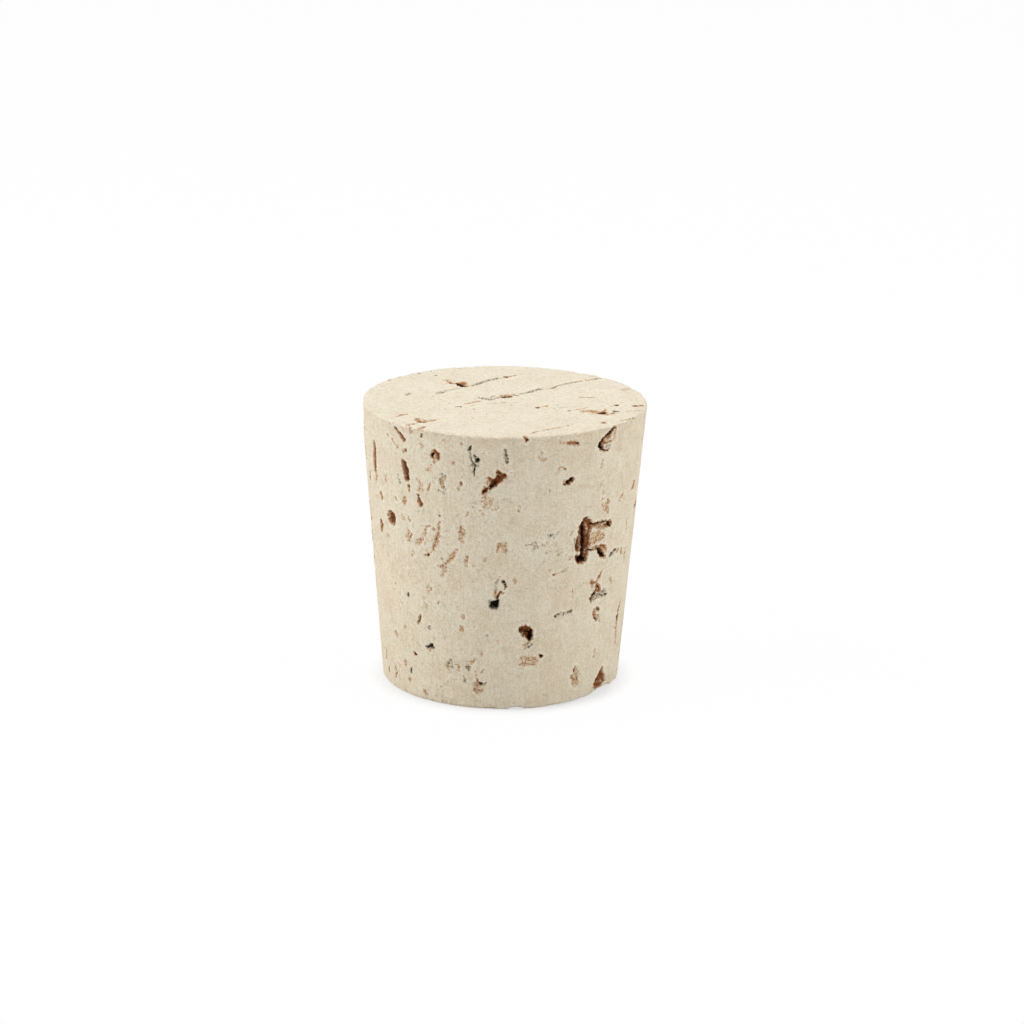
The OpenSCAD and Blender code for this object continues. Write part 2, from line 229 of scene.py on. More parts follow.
SIDE_MARKS = [
    # left
    ("brown", 0.1, [(-18, 24, 0.12)], [(-32.6, 16, 0.12)], [(-17.2, 11.6, 0.09), (-17.1, 11.1, 0.09)],
     [(-51, 4.6, 0.14)], [(-25.2, 3.9, 0.06), (-25.6, 3.3, 0.07), (-26.6, 2.8, 0.12)], [(-20, 5.8, 0.14)]),
    ("brown", 0.12, [(-50, 27.4, 0.2), (-50.3, 27.9, 0.12)], [(-38.6, 22.2, 0.15)],
     [(-18.4, 11.6, 0.1), (-18.3, 11.1, 0.1)], [(-39.4, 1.5, 0.14)]),
    ("brown", 0.15, [(-53.3, 36.2, 0.18), (-52.5, 35.9, 0.12)], [(-50.3, 35.7, 0.18), (-49.2, 35.3, 0.15)],
     [(-45, 27.5, 0.2)], [(-34.3, 22.4, 0.17)], [(-16.6, 13.1, 0.14), (-16.5, 12.8, 0.18)],
     [(-44.3, 6.5, 0.24)], [(-48.5, 2.3, 0.16)], [(-38.4, 1.1, 0.18)], [(-25.8, 4.3, 0.14)],
     [(-29, 2.55, 0.16)]),
    ("brown", 0.2, [(-51.5, 37.8, 0.15)], [(-41.7, 29.3, 0.22)], [(-30.7, 30.9, 0.16), (-31.8, 30, 0.18)],
     [(-39.7, 38, 0.25)], [(-28.6, 34, 0.18)], [(-29.8, 33.4, 0.17)], [(-16.3, 37, 0.12)],
     [(-43, 25.5, 0.12), (-42.2, 25, 0.16)], [(-32.8, 24.9, 0.17)], [(-29.9, 24.6, 0.2)],
     [(-33.8, 24.3, 0.17)], [(-36.9, 22.8, 0.12), (-36.8, 22.5, 0.16)], [(-27.4, 24.2, 0.16)],
     [(-30.9, 21.9, 0.13)], [(-32.1, 21.3, 0.13)], [(-19.3, 22.3, 0.15)],
     [(-20.3, 21.6, 0.16), (-21, 21.1, 0.22)], [(-17.8, 24.6, 0.18), (-17.1, 25.3, 0.12)],
     [(-70, 5, 0.2), (-71, 3.4, 0.2)], [(-68.3, 2.3, 0.3), (-68.5, 1.9, 0.3)], [(-59.8, 2.2, 0.22)]),
    ("brown", 0.25, [(-26.9, 25.8, 0.2)], [(-27.1, 25, 0.2)], [(-29.7, 22.3, 0.19)], [(-24.8, 20.1, 0.17)],
     [(-29, 14.5, 0.18)]),
    ("brown", 0.3, [(-35.4, 27.7, 0.25)], [(-41.5, 23.3, 0.18), (-42.6, 22.7, 0.18)], [(-26.8, 27.1, 0.12)],
     [(-26.7, 26.6, 0.24)], [(-28.5, 23.6, 0.16), (-28.8, 23.2, 0.24)],
     [(-38.9, 12.1, 0.18), (-39.6, 11.4, 0.22), (-40.6, 10.9, 0.18)]),
    ("brown", 0.4, [(-62.5, 27.4, 0.3), (-61.5, 26.8, 0.34)], [(-36.6, 28.1, 0.3), (-35.8, 27.8, 0.4)],
     [(-16.9, 31.6, 0.22), (-17, 31.3, 0.2)], [(-64, 23.3, 0.42), (-64.2, 22.2, 0.36)]),
    ("brown", 0.5, [(-65, 34.2, 0.3), (-65.5, 32.8, 0.55), (-66, 31.5, 0.5), (-66.5, 30.4, 0.45)],
     [(-29.2, 35, 0.3), (-28.2, 35.4, 0.3), (-27, 35, 0.38), (-26.8, 34.5, 0.3)]),
    ("brown", 0.6, [(-48, 37.4, 0.24), (-45.5, 36.8, 0.3), (-43.2, 36.1, 0.3)]),
    ("brown", 0.7, [(-44.2, 33, 0.44), (-43.5, 32.3, 0.5), (-42.8, 31.4, 0.48), (-42.8, 30.8, 0.36)],
     [(-55, 25, 0.6), (-53.6, 24.9, 0.6), (-53.8, 24.2, 0.6), (-55.2, 24.3, 0.6)]),
    ("dark", 0.3, [(-34.2, 37.4, 0.12), (-34.2, 37.1, 0.14)], [(-26.3, 19.7, 0.17)], [(-60.2, 1.8, 0.2)]),
    ("dark", 0.35, [(-33.4, 20.9, 0.22)]),
    ("dark", 0.4, [(-41.9, 29.9, 0.22)], [(-61.8, 27.4, 0.16)],
     [(-39, 12.1, 0.1), (-39.6, 11.5, 0.14), (-40.4, 11, 0.1)]),
    ("dark", 0.5, [(-42.5, 34.7, 0.25)], [(-65.3, 33, 0.35)], [(-66.3, 30.6, 0.35)], [(-64, 22.1, 0.24)],
     [(-43.4, 6.3, 0.25)]),
    ("dark", 0.6, [(-48, 37.4, 0.12), (-45.5, 36.9, 0.16), (-44.3, 36.5, 0.14)],
     [(-37, 28.9, 0.14), (-36.8, 28.4, 0.22)], [(-64, 23.4, 0.3), (-64, 23, 0.28)]),
    ("dark", 0.7, [(-29.3, 34.9, 0.22), (-29, 34.5, 0.2)]),
    ("dark", 0.9, [(-53, 25.1, 0.34), (-52.8, 24.5, 0.45), (-53.4, 24, 0.32)]),
    ("dark", 1.1, [(-42.4, 32.4, 0.2), (-42.4, 31.8, 0.34), (-42.5, 31, 0.36)]),
    ("black", 0.1, [(-34.3, 10.8, 0.1)], [(-16.9, 4.2, 0.08), (-16.6, 3.7, 0.09)]),
    ("black", 0.2, [(-24.6, 6.05, 0.1)]),
    ("black", 0.4, [(-36.2, 7.8, 0.15), (-35, 7.9, 0.22)], [(-47, 3.9, 0.2), (-47, 3.5, 0.18)],
     [(-23.4, 6.8, 0.1), (-23.1, 6.5, 0.17)]),
    ("black", 0.6, [(-46, 14.8, 0.15), (-45.7, 14.4, 0.22)]),
    ("black", 1.0, [(-34.3, 8, 0.24), (-33.2, 8.1, 0.32)]),
    ("tan", 0.05, [(-43.5, 34.6, 0.3)], [(-56.5, 30.3, 0.15), (-57.5, 29.3, 0.2)], [(-20.3, 34.2, 0.25)],
     [(-18, 30.9, 0.15), (-18, 30.4, 0.12)], [(-58, 21.8, 0.3)], [(-46.5, 25.6, 0.2), (-46, 25, 0.2)],
     [(-54.5, 15.4, 0.22)], [(-25.3, 13.8, 0.12)], [(-49.3, 9.7, 0.25)],
     [(-57, 8.3, 0.3), (-56.6, 7.8, 0.25)], [(-34.6, 7.5, 0.18)], [(-56, 3.8, 0.25)]),
    ("tan", 0.08, [(-35, 36.3, 0.12), (-34, 35.8, 0.25)], [(-24, 36.9, 0.28)],
     [(-41.2, 20.9, 0.15), (-41.7, 20.2, 0.18)], [(-35.5, 13.9, 0.22), (-35.2, 13.4, 0.15)],
     [(-21.3, 4, 0.22)]),
    ("tan", 0.1, [(-49, 35.2, 0.15), (-47.2, 34.8, 0.2)], [(-65.5, 30, 0.3), (-66, 29, 0.2)],
     [(-44.8, 27.9, 0.35), (-45, 27.4, 0.35)],
     [(-37.2, 31.2, 0.15), (-36, 30.9, 0.15), (-35.8, 30, 0.15), (-36.8, 29.6, 0.15)],
     [(-32.2, 29.8, 0.15)], [(-33.6, 38, 0.2)], [(-30.4, 33.1, 0.15), (-31.6, 32.7, 0.25)],
     [(-43.5, 23.6, 0.2), (-43.8, 22.7, 0.3), (-43.6, 22.2, 0.2)], [(-32, 25, 0.15), (-30.6, 24.8, 0.15)],
     [(-33.5, 24.6, 0.2), (-34.6, 23.5, 0.22)],
     [(-27.2, 25.6, 0.22), (-27.6, 24.2, 0.28), (-28.8, 22.9, 0.35), (-30.5, 21.9, 0.3)],
     [(-32.4, 21.1, 0.2), (-34.6, 20.8, 0.2)],
     [(-19.4, 22.2, 0.2), (-21.5, 21.2, 0.36), (-23.6, 20.5, 0.32)],
     [(-27, 19.6, 0.14), (-28.4, 19.6, 0.12)], [(-24.6, 19.6, 0.25), (-25, 19.1, 0.2), (-26.2, 18.4, 0.25)],
     [(-17.2, 25.4, 0.3), (-16.2, 24.6, 0.25), (-17.8, 24, 0.25), (-16.5, 23.4, 0.15)],
     [(-34.6, 16.2, 0.14), (-33.6, 16.6, 0.12), (-32.5, 16.2, 0.16), (-34, 15.6, 0.16)], [(-40.2, 11, 0.2)],
     [(-17.2, 13, 0.28)], [(-17.8, 11.5, 0.26), (-17.8, 11, 0.26)], [(-48.3, 2.5, 0.28), (-48.6, 2, 0.2)],
     [(-38.8, 1.3, 0.28), (-37.6, 0.9, 0.25)], [(-25.3, 5.7, 0.2), (-24.5, 5.1, 0.15)],
     [(-28.8, 2.2, 0.08), (-28.4, 1.4, 0.07), (-28.8, 0.6, 0.07)], [(-20, 5.9, 0.25), (-19.6, 5.4, 0.2)]),
    ("tan", 0.15, [(-39.4, 37.5, 0.3)], [(-27.6, 34.6, 0.3)], [(-16.5, 36.9, 0.25)],
     [(-35.8, 23, 0.25), (-37.5, 22.6, 0.35), (-39, 22.2, 0.3)], [(-51, 4.7, 0.3), (-51.2, 4.3, 0.25)]),
    ("tan", 0.2, [(-57, 24.8, 0.3)]),
    ("grey", 0.03, [(-57.5, 9.5, 0.2)]),
    ("grey", 0.05, [(-48, 30.9, 0.2), (-47, 30, 0.15)], [(-16, 34.3, 0.12)], [(-16.3, 32.4, 0.14)]),
    ("grey", 0.1, [(-22.4, 6.1, 0.16), (-22.6, 5.6, 0.16), (-24.4, 5.6, 0.16)]),
    ("grey", 0.15, [(-34.3, 10.7, 0.26)]),
    ("grey", 0.2, [(-27, 20.8, 0.12), (-26, 20.2, 0.14)], [(-60.2, 3.2, 0.2), (-59.8, 2.4, 0.3)],
     [(-24, 6.3, 0.18), (-24.7, 6, 0.2)], [(-17, 4.5, 0.12), (-16.7, 4, 0.18), (-16.5, 3.6, 0.16)]),
    # middle
    ("brown", 0.1, [(16, 35.9, 0.1)], [(17, 34.9, 0.13)], [(-0.8, 18.9, 0.1), (-1.5, 18.3, 0.08)],
     [(5.8, 18, 0.12)]),
    ("brown", 0.12, [(-14, 27.7, 0.1), (-15, 27.1, 0.12)], [(9.4, 6.4, 0.12)]),
    ("brown", 0.15, [(-9.3, 28, 0.16)], [(-5, 28.8, 0.18)], [(-4, 28.1, 0.16)], [(-2.5, 28.2, 0.15)],
     [(-11.4, 2.3, 0.09), (-10.2, 2.1, 0.14), (-9.2, 2.3, 0.09)], [(11.5, 6.75, 0.15), (12.2, 6.7, 0.13)],
     [(15.8, 7.3, 0.12)]),
    ("brown", 0.2, [(-7.6, 31.2, 0.16)], [(3.2, 33.3, 0.13)], [(7, 28.6, 0.16)], [(6.8, 27.9, 0.16)],
     [(-1.6, 23.5, 0.14), (-1.7, 22.9, 0.16), (-1.9, 22.3, 0.1)], [(0.4, 16.6, 0.13), (1.2, 16.7, 0.08)],
     [(-14.3, 6.2, 0.1), (-14, 5.9, 0.14)], [(-13.4, 6.5, 0.12), (-12.6, 6.5, 0.16), (-11.8, 6.9, 0.1)]),
    ("brown", 0.25, [(-10.1, 3.5, 0.14), (-10, 2.8, 0.1), (-10.2, 2.4, 0.12)]),
    ("brown", 0.3, [(-12, 5.6, 0.08), (-11.4, 4.9, 0.1), (-10.9, 4.3, 0.13), (-10.3, 3.8, 0.15)]),
    ("brown", 0.4, [(-5.3, 32.4, 0.28), (-4.2, 32.1, 0.35)]),
    ("brown", 0.5, [(-2.2, 33.4, 0.22), (-1.2, 33.1, 0.3)],
     [(-0.4, 16.8, 0.16), (-1.4, 16.2, 0.2), (-2, 15.7, 0.2)],
     [(9, 11.5, 0.3), (10.5, 11.7, 0.4), (11.4, 11.4, 0.5)]),
    ("brown", 0.6, [(0.6, 32.8, 0.32), (-0.8, 32.4, 0.4), (-2.2, 32.1, 0.5)],
     [(11, 11.9, 0.2), (12, 11.5, 0.4), (13, 11, 0.45)]),
    ("brown", 0.7, [(-6.6, 30.9, 0.26), (-7.6, 30.5, 0.32)]),
    ("brown", 0.8, [(-2, 32.5, 0.35), (-3.2, 31.8, 0.5), (-5, 31.2, 0.4)],
     [(9.8, 11.2, 0.35), (11.3, 10.9, 0.5), (12.6, 10.5, 0.5), (13, 10.2, 0.4)]),
    ("dark", 0.2, [(23, 18.8, 0.13)]),
    ("dark", 0.4, [(8.7, 38, 0.2), (9, 37.6, 0.2)],
     [(1.6, 17.8, 0.12), (1.7, 17.4, 0.12), (1.2, 17.1, 0.08)]),
    ("dark", 0.5, [(-10.2, 3.7, 0.16), (-9.2, 3.7, 0.2), (-8.5, 3.7, 0.14)],
     [(8.3, 11.6, 0.14), (9.1, 10.9, 0.12), (10.3, 10.4, 0.1)]),
    ("dark", 0.6, [(-0.8, 16.4, 0.06), (-1.8, 15.7, 0.08)]),
    ("dark", 0.7, [(-7.6, 30.6, 0.18)], [(18.6, 7.7, 0.15), (19, 7.5, 0.2)]),
    ("dark", 0.8, [(-3.2, 31.6, 0.14), (-4.4, 31.2, 0.16), (-5.5, 31, 0.12)],
     [(10.8, 10.9, 0.12), (12, 10.9, 0.18), (13.2, 10.7, 0.18)]),
    ("dark", 1.1, [(14, 11.2, 0.2), (13.9, 10.6, 0.28), (13.5, 10.1, 0.28), (13, 9.8, 0.14)]),
    ("black", 0.15, [(-7, 3.5, 0.1)]),
    ("black", 0.2, [(-16, 6.2, 0.08), (-15.5, 5.7, 0.12), (-14.9, 5.5, 0.08)],
     [(12.6, 9.6, 0.08), (12.9, 9.3, 0.08)], [(13.2, 9, 0.12), (14.3, 9.3, 0.09)]),
    ("black", 0.3, [(-13.5, 35.2, 0.08), (-12.4, 34.6, 0.1)],
     [(0.7, 36.4, 0.1), (1, 35.9, 0.13), (1.3, 35.3, 0.1)], [(1.3, 34.7, 0.12)]),
    ("black", 0.4, [(-11.3, 35.3, 0.15), (-10.7, 35.1, 0.15)], [(0.5, 18.2, 0.15), (1.1, 18.1, 0.17)]),
    ("black", 0.6, [(-2.4, 33.1, 0.14)]),
    ("black", 0.7, [(-13, 36.6, 0.1), (-13.4, 36.1, 0.16)],
     [(-11.2, 33.8, 0.15), (-11.9, 33.1, 0.17), (-11.4, 32.6, 0.1)]),
    ("black", 0.9, [(-9.8, 34.9, 0.22), (-10.3, 34.7, 0.26)]),
    ("black", 1.0, [(-3.5, 15, 0.42), (-4, 14.7, 0.34)]),
    ("black", 1.4, [(-2.4, 15.2, 0.44), (-2.6, 14.7, 0.42)]),
    ("tan", 0.04, [(-1.3, 9.9, 0.15), (-1.3, 9.4, 0.12)], [(-9.6, 8.2, 0.15)]),
    ("tan", 0.05, [(15.8, 35.9, 0.12), (14.6, 35.3, 0.12), (15.6, 34.7, 0.12), (17, 34.9, 0.15)],
     [(-9.3, 23.5, 0.18)], [(-7.5, 21.1, 0.2), (-6.5, 21.4, 0.15)], [(13.8, 19.3, 0.15)],
     [(-8.5, 7.9, 0.2)], [(7, 1.1, 0.2)]),
    ("tan", 0.08, [(9.6, 7.4, 0.25), (12.5, 7.2, 0.4), (15.5, 7.2, 0.35)],
     [(9.6, 6.5, 0.25), (13, 6.5, 0.3), (16, 6.5, 0.2)]),
    ("tan", 0.1, [(-0.5, 23.4, 0.3), (0.6, 23, 0.35), (1, 22.5, 0.3)],
     [(-15.1, 21.4, 0.2), (-15.2, 20.6, 0.2), (-15.4, 20, 0.1)], [(-12.3, 20.8, 0.12), (-11.9, 20.2, 0.15)],
     [(5.4, 18.5, 0.2), (5.8, 18, 0.18)], [(-15.4, 6.6, 0.2), (-14, 6.6, 0.2), (-12.7, 6.6, 0.2)],
     [(-11.9, 6.9, 0.2), (-11.6, 7.2, 0.12)], [(-8.8, 2.4, 0.13), (-8.2, 3, 0.11)],
     [(12, 9.4, 0.25), (11, 9.2, 0.2), (11.6, 8.7, 0.2)]),
    ("tan", 0.12, [(1.3, 23.5, 0.22), (0.8, 22.9, 0.22), (1.8, 22.4, 0.24)],
     [(-2.3, 17, 0.2), (-2.7, 16, 0.25)]),
    ("tan", 0.15, [(-5.8, 32.5, 0.25), (-6, 31.8, 0.2)], [(-8.6, 5.3, 0.16), (-7.8, 5.6, 0.12)]),
    ("tan", 0.2, [(1.5, 32.6, 0.25), (-0.5, 32.9, 0.3)], [(8.6, 38, 0.4)],
     [(-11.4, 3.6, 0.25), (-11, 2.7, 0.35), (-9.6, 2.6, 0.3)]),
    ("grey", 0.03, [(-9.6, 31.7, 0.15)], [(12, 30.2, 0.12)], [(-4.2, 24.8, 0.16)], [(-12, 11.7, 0.16)]),
    ("grey", 0.05, [(-7.7, 35.8, 0.14)], [(19.3, 30.6, 0.15)]),
    ("grey", 0.1, [(-1, 18.8, 0.1), (-1.8, 18.3, 0.12), (-2.5, 17.8, 0.14), (-2.4, 17, 0.14)],
     [(-7.2, 10.6, 0.2), (-6, 10.5, 0.2)]),
    ("grey", 0.15, [(-15.6, 6.2, 0.2), (-14.4, 5.6, 0.2)]),
    ("grey", 0.2, [(-13.3, 35.9, 0.1), (-12.8, 35.2, 0.14), (-12, 34.4, 0.12)],
     [(0.5, 36.4, 0.25), (1.2, 35.6, 0.3), (1.4, 34.7, 0.25)], [(-7.2, 4, 0.1), (-7, 3.6, 0.18)]),
    ("grey", 0.3, [(-11.8, 34.2, 0.35), (-10.5, 34, 0.3)], [(-4.6, 15.1, 0.4), (-5, 15, 0.25)]),
    # right
    ("brown", 0.15, [(24.5, 13, 0.16)]),
    ("brown", 0.2, [(45.3, 28.2, 0.18), (46.2, 28.3, 0.12)],
     [(49, 27.9, 0.16), (50, 27.7, 0.2), (50.4, 27.3, 0.14)], [(66, 8.7, 0.22)]),
    ("brown", 0.3, [(26, 36.9, 0.16), (27.4, 36.8, 0.22), (29.2, 36.7, 0.2), (30.8, 36.5, 0.2)],
     [(45.6, 36.6, 0.25), (47.3, 36.7, 0.18)], [(25.4, 33.3, 0.2)], [(25, 31.7, 0.15)],
     [(72, 28.6, 0.4), (71, 28.2, 0.45), (70, 27.9, 0.3)],
     [(44.6, 16.7, 0.2), (46.4, 16.6, 0.2), (47.2, 17, 0.16), (48, 17.4, 0.2)],
     [(71.4, 12.4, 0.16), (69.6, 11.6, 0.26), (68.8, 10.8, 0.28)]),
    ("brown", 0.35, [(43.6, 16.7, 0.25), (44.6, 16.6, 0.2)],
     [(46.6, 12.8, 0.14), (46, 12.3, 0.22), (46.6, 12, 0.24)]),
    ("brown", 0.4, [(43.2, 36, 0.24), (45.5, 36, 0.2), (48.5, 36.1, 0.16)]),
    ("brown", 0.5, [(47.2, 16.2, 0.28), (48.5, 15.8, 0.34), (48.8, 15.3, 0.3)],
     [(47, 11.9, 0.22), (48, 11.5, 0.28), (49.2, 11.2, 0.18)]),
    ("brown", 0.6, [(58.5, 2.5, 0.45), (59, 1.7, 0.45)],
     [(54, 1.4, 0.35), (57, 1.3, 0.45), (60, 1.5, 0.3)]),
    ("brown", 0.7, [(57, 3.6, 0.35), (56.4, 3, 0.5), (55, 2.4, 0.75)]),
    ("brown", 1.0, [(56, 2.9, 0.4), (54.4, 2.3, 0.55), (52.8, 1.9, 0.5)]),
    ("dark", 0.3, [(30, 36.6, 0.16), (30.8, 36.6, 0.18)]),
    ("dark", 0.4, [(47.6, 12.8, 0.1), (48.9, 12.8, 0.14), (49.8, 12.5, 0.1)],
     [(47.4, 11.7, 0.12), (48.8, 11.2, 0.14)]),
    ("dark", 0.5, [(43.6, 35.1, 0.18), (45, 35, 0.16), (47, 35, 0.1)], [(48.6, 15.7, 0.24)],
     [(68.7, 10.4, 0.26), (68.3, 9.8, 0.28)], [(36.9, 4.6, 0.18), (37.4, 5.1, 0.1)]),
    ("dark", 0.7, [(50, 38, 0.15), (48, 37.5, 0.28), (46.6, 37.2, 0.3), (44.4, 36.9, 0.22)],
     [(46.4, 15.4, 0.3), (45, 14.9, 0.26), (43.4, 14.5, 0.26)]),
    ("dark", 0.8, [(57, 3.7, 0.16), (55.4, 3.2, 0.14), (53.2, 2.4, 0.14), (52.3, 1.7, 0.2)]),
    ("dark", 0.9, [(44.4, 36.9, 0.22), (42.6, 36.3, 0.3), (41.8, 35.8, 0.38), (43, 35.3, 0.28)],
     [(25.8, 31.3, 0.28), (27.4, 31.5, 0.31), (29, 31.9, 0.29)], [(54.8, 2.3, 0.24), (53.6, 1.9, 0.22)]),
    ("black", 0.12, [(24.8, 12.9, 0.14)], [(25.6, 13.3, 0.08), (26.6, 13.2, 0.12), (27.4, 13.2, 0.08)],
     [(28.9, 13, 0.12)]),
    ("black", 0.25, [(50.5, 14.4, 0.1), (54, 14.3, 0.14), (55, 14.5, 0.08)]),
    ("black", 0.6, [(44, 14.1, 0.24)]),
    ("tan", 0.03, [(45.5, 31, 0.1), (46, 29, 0.12)], [(58, 27.4, 0.28), (60.5, 27.9, 0.22)],
     [(56.8, 16.4, 0.25), (57.6, 15.6, 0.2)], [(33, 16.2, 0.12), (33, 15.4, 0.12)],
     [(49.6, 6.9, 0.12), (49, 5.8, 0.1)]),
    ("tan", 0.05, [(42, 29.7, 0.2)]),
    ("tan", 0.08, [(48.6, 27.4, 0.4), (49.6, 26.2, 0.25)], [(47.6, 17.4, 0.2), (49.5, 18, 0.12)]),
    ("tan", 0.1, [(22.6, 37.1, 0.22), (24.6, 36.9, 0.15)], [(50, 37.3, 0.25), (49.5, 36.3, 0.2)],
     [(22.8, 33.5, 0.22), (24.6, 33.5, 0.15)],
     [(45.3, 27.6, 0.16), (46.8, 27.2, 0.2), (47.2, 26.6, 0.18), (49.8, 26.4, 0.16)],
     [(68, 9.6, 0.3), (69, 8, 0.3), (69.5, 6.3, 0.25)]),
    ("tan", 0.12, [(38.4, 4.8, 0.2), (38.4, 3.6, 0.35), (39.2, 2.4, 0.25)]),
    ("tan", 0.15, [(25.6, 36.9, 0.25), (28.4, 36.8, 0.35), (31, 36.6, 0.25)],
     [(43.7, 33.7, 0.1), (43.5, 33, 0.14), (43.4, 32.5, 0.1)],
     [(49.4, 11.8, 0.2), (50.6, 11.3, 0.2), (51, 10.7, 0.2)]),
    ("tan", 0.2, [(43.2, 16.9, 0.3), (44, 16.3, 0.35)], [(36.2, 3.9, 0.3), (37.2, 2.9, 0.35)]),
    ("tan", 0.25, [(46.6, 15.9, 0.25), (46.8, 15.3, 0.25)], [(47.4, 12.5, 0.3)]),
    ("grey", 0.04, [(25, 16.5, 0.13)]),
    ("grey", 0.05, [(19.3, 30.5, 0.16)]),
    ("grey", 0.08, [(44, 30.6, 0.12), (43.6, 30, 0.15)]),
    ("grey", 0.12, [(24.6, 12.9, 0.2), (27.5, 13.3, 0.2)]),
    ("grey", 0.15, [(29.2, 13.2, 0.25)], [(31, 13.1, 0.28), (32.6, 13.3, 0.28)]),
    ("grey", 0.2, [(49.6, 14.5, 0.2), (53.6, 14.5, 0.28), (52.6, 15, 0.2)],
     [(38.6, 4.1, 0.15), (39, 3.3, 0.22)]),
    ("grey", 0.25, [(46, 14.4, 0.35), (48, 14.6, 0.35), (50, 14.6, 0.3), (52, 15, 0.3)]),
    ("grey", 0.3, [(45.3, 35.5, 0.2), (47.5, 35.5, 0.18)]),
    ("grey", 0.4, [(51.5, 1.2, 0.22), (53.5, 1, 0.24)]),
    # the large branched pit at the right, and the small marks beside it
    ("brown", 0.12, [(22.6, 18.7, 0.1), (24.5, 18.9, 0.06), (26.5, 19.1, 0.12)]),
    ("brown", 0.3, [(51, 24.2, 0.3), (52, 24.8, 0.25)], [(41.7, 23.6, 0.16), (42.5, 23.9, 0.12)],
     [(60.4, 19.9, 0.22)], [(64, 20, 0.24), (64.6, 19.4, 0.2)]),
    ("brown", 0.4, [(47, 21.7, 0.25), (49.5, 21.4, 0.32), (50.8, 20.9, 0.18)]),
    ("brown", 0.5, [(41.5, 24.8, 0.2), (43.5, 24.7, 0.26)], [(42, 21.7, 0.15), (45.3, 21.8, 0.18)]),
    ("brown", 0.6, [(38.8, 25.4, 0.45), (39.6, 24.6, 0.35), (39.5, 23.5, 0.3), (39.6, 22, 0.35)],
     [(34.1, 22.7, 0.3), (34.2, 21.8, 0.3)], [(39, 21.3, 0.3), (38.8, 20.8, 0.3)]),
    ("brown", 0.7, [(37.4, 25.9, 0.4), (35.6, 25.2, 0.45), (36.2, 24.6, 0.6)],
     [(34.3, 25.1, 0.25), (34.2, 24, 0.2)], [(33.9, 23.6, 0.26), (33.7, 22.9, 0.38), (33.8, 21.9, 0.3)]),
    ("brown", 0.8, [(36.4, 24.4, 0.6), (36.9, 23.3, 0.62), (37.4, 22, 0.6), (36.5, 21.5, 0.4)],
     [(33.8, 20.9, 0.34), (34.6, 20.5, 0.4), (35.6, 20, 0.3)]),
    ("dark", 0.4, [(61, 20.3, 0.2)]),
    ("dark", 0.6, [(40.5, 25.1, 0.24), (44, 24.9, 0.23), (47, 25, 0.2), (49.5, 25, 0.14)],
     [(39.5, 21.5, 0.16), (43, 21.4, 0.12), (45, 21.4, 0.16)], [(49, 20.2, 0.28), (50.8, 19.9, 0.16)]),
    ("dark", 0.7, [(33.2, 23.1, 0.14), (33.2, 22.4, 0.18), (33.6, 21.7, 0.14)],
     [(51, 24.6, 0.3), (52, 24.4, 0.4), (52.6, 24.2, 0.3)]),
    ("dark", 0.8, [(36.2, 25.5, 0.16), (36.6, 24.9, 0.22), (37, 24.4, 0.26)]),
    ("dark", 1.2, [(37, 24.4, 0.28), (37.6, 23.3, 0.32), (37.8, 22, 0.36), (37, 21.4, 0.34)],
     [(36.5, 21.4, 0.36), (36.2, 20.8, 0.38)],
     [(46, 21.3, 0.3), (47, 20.8, 0.42), (48.2, 20.4, 0.42), (49.2, 20.2, 0.3)]),
    ("dark", 1.7, [(36.6, 20.9, 0.42), (37, 20.2, 0.46), (38.4, 20.3, 0.34)]),
    ("black", 0.4, [(57.4, 20.3, 0.16), (59, 20.3, 0.16)]),
    ("black", 0.5, [(54.5, 19.8, 0.24), (56.4, 20, 0.22)]),
    ("tan", 0.03, [(67.5, 24, 0.15), (68, 22, 0.2)], [(69, 19.6, 0.2), (69.5, 17.6, 0.2)]),
    ("tan", 0.12, [(42.3, 22.7, 0.6), (45, 23.3, 0.7), (47.5, 22.9, 0.6)]),
    ("tan", 0.4, [(44, 24.5, 0.25), (46, 24.4, 0.36), (48.5, 24.3, 0.42), (50, 24.3, 0.35)]),
    ("grey", 0.1, [(26.5, 19.1, 0.1), (30, 19.6, 0.1)]),
    ("grey", 0.3, [(56, 20, 0.3), (58, 20.2, 0.25)]),
]

# Specks: (kind, how many, middle, half sizes in mm, largest radius, depth)
SIDE_SPECKS = [
    ("grey", 26, (-24.6, 30.8), (0.7, 1.5), 0.2, 0.1),
    ("black", 6, (-24.4, 31.6), (0.5, 0.9), 0.12, 0.2),
    ("brown", 10, (-25, 31.4), (0.5, 0.9), 0.14, 0.2),
    ("tan", 30, (-6, 29), (1.5, 1.2), 0.22, 0.06),
    ("brown", 4, (-5, 28.6), (1.2, 0.8), 0.1, 0.1),
    ("tan", 16, (13, 6.9), (1.2, 0.6), 0.17, 0.1),
    ("brown", 7, (13, 6.9), (1.2, 0.6), 0.11, 0.1),
    ("grey", 14, (21, 24.4), (1, 0.4), 0.17, 0.12),
    ("grey", 14, (14, 23), (0.8, 0.6), 0.17, 0.12),
    ("grey", 14, (24, 22), (3, 1.6), 0.16, 0.08),
    ("tan", 14, (21, 22.8), (2.8, 2.2), 0.17, 0.08),
    ("brown", 5, (17, 23.4), (1.8, 1.2), 0.12, 0.12),
    ("black", 5, (21, 24.4), (0.9, 0.3), 0.14, 0.2),
    ("black", 3, (14, 23), (0.7, 0.5), 0.13, 0.2),
    ("grey", 10, (31, 22.6), (0.5, 2), 0.17, 0.12),
    ("grey", 8, (46, 15), (1.2, 0.9), 0.15, 0.1),
    ("tan", 9, (38.5, 3.6), (0.8, 1.1), 0.18, 0.1),
    ("tan", 8, (-31.6, 23), (1, 1.4), 0.16, 0.08),
    ("brown", 5, (-31.6, 23), (1, 1.4), 0.11, 0.1),
    ("tan", 10, (-36, 30), (0.5, 1), 0.15, 0.08),
    ("tan", 16, (45, 23), (1.2, 0.9), 0.26, 0.1),
]

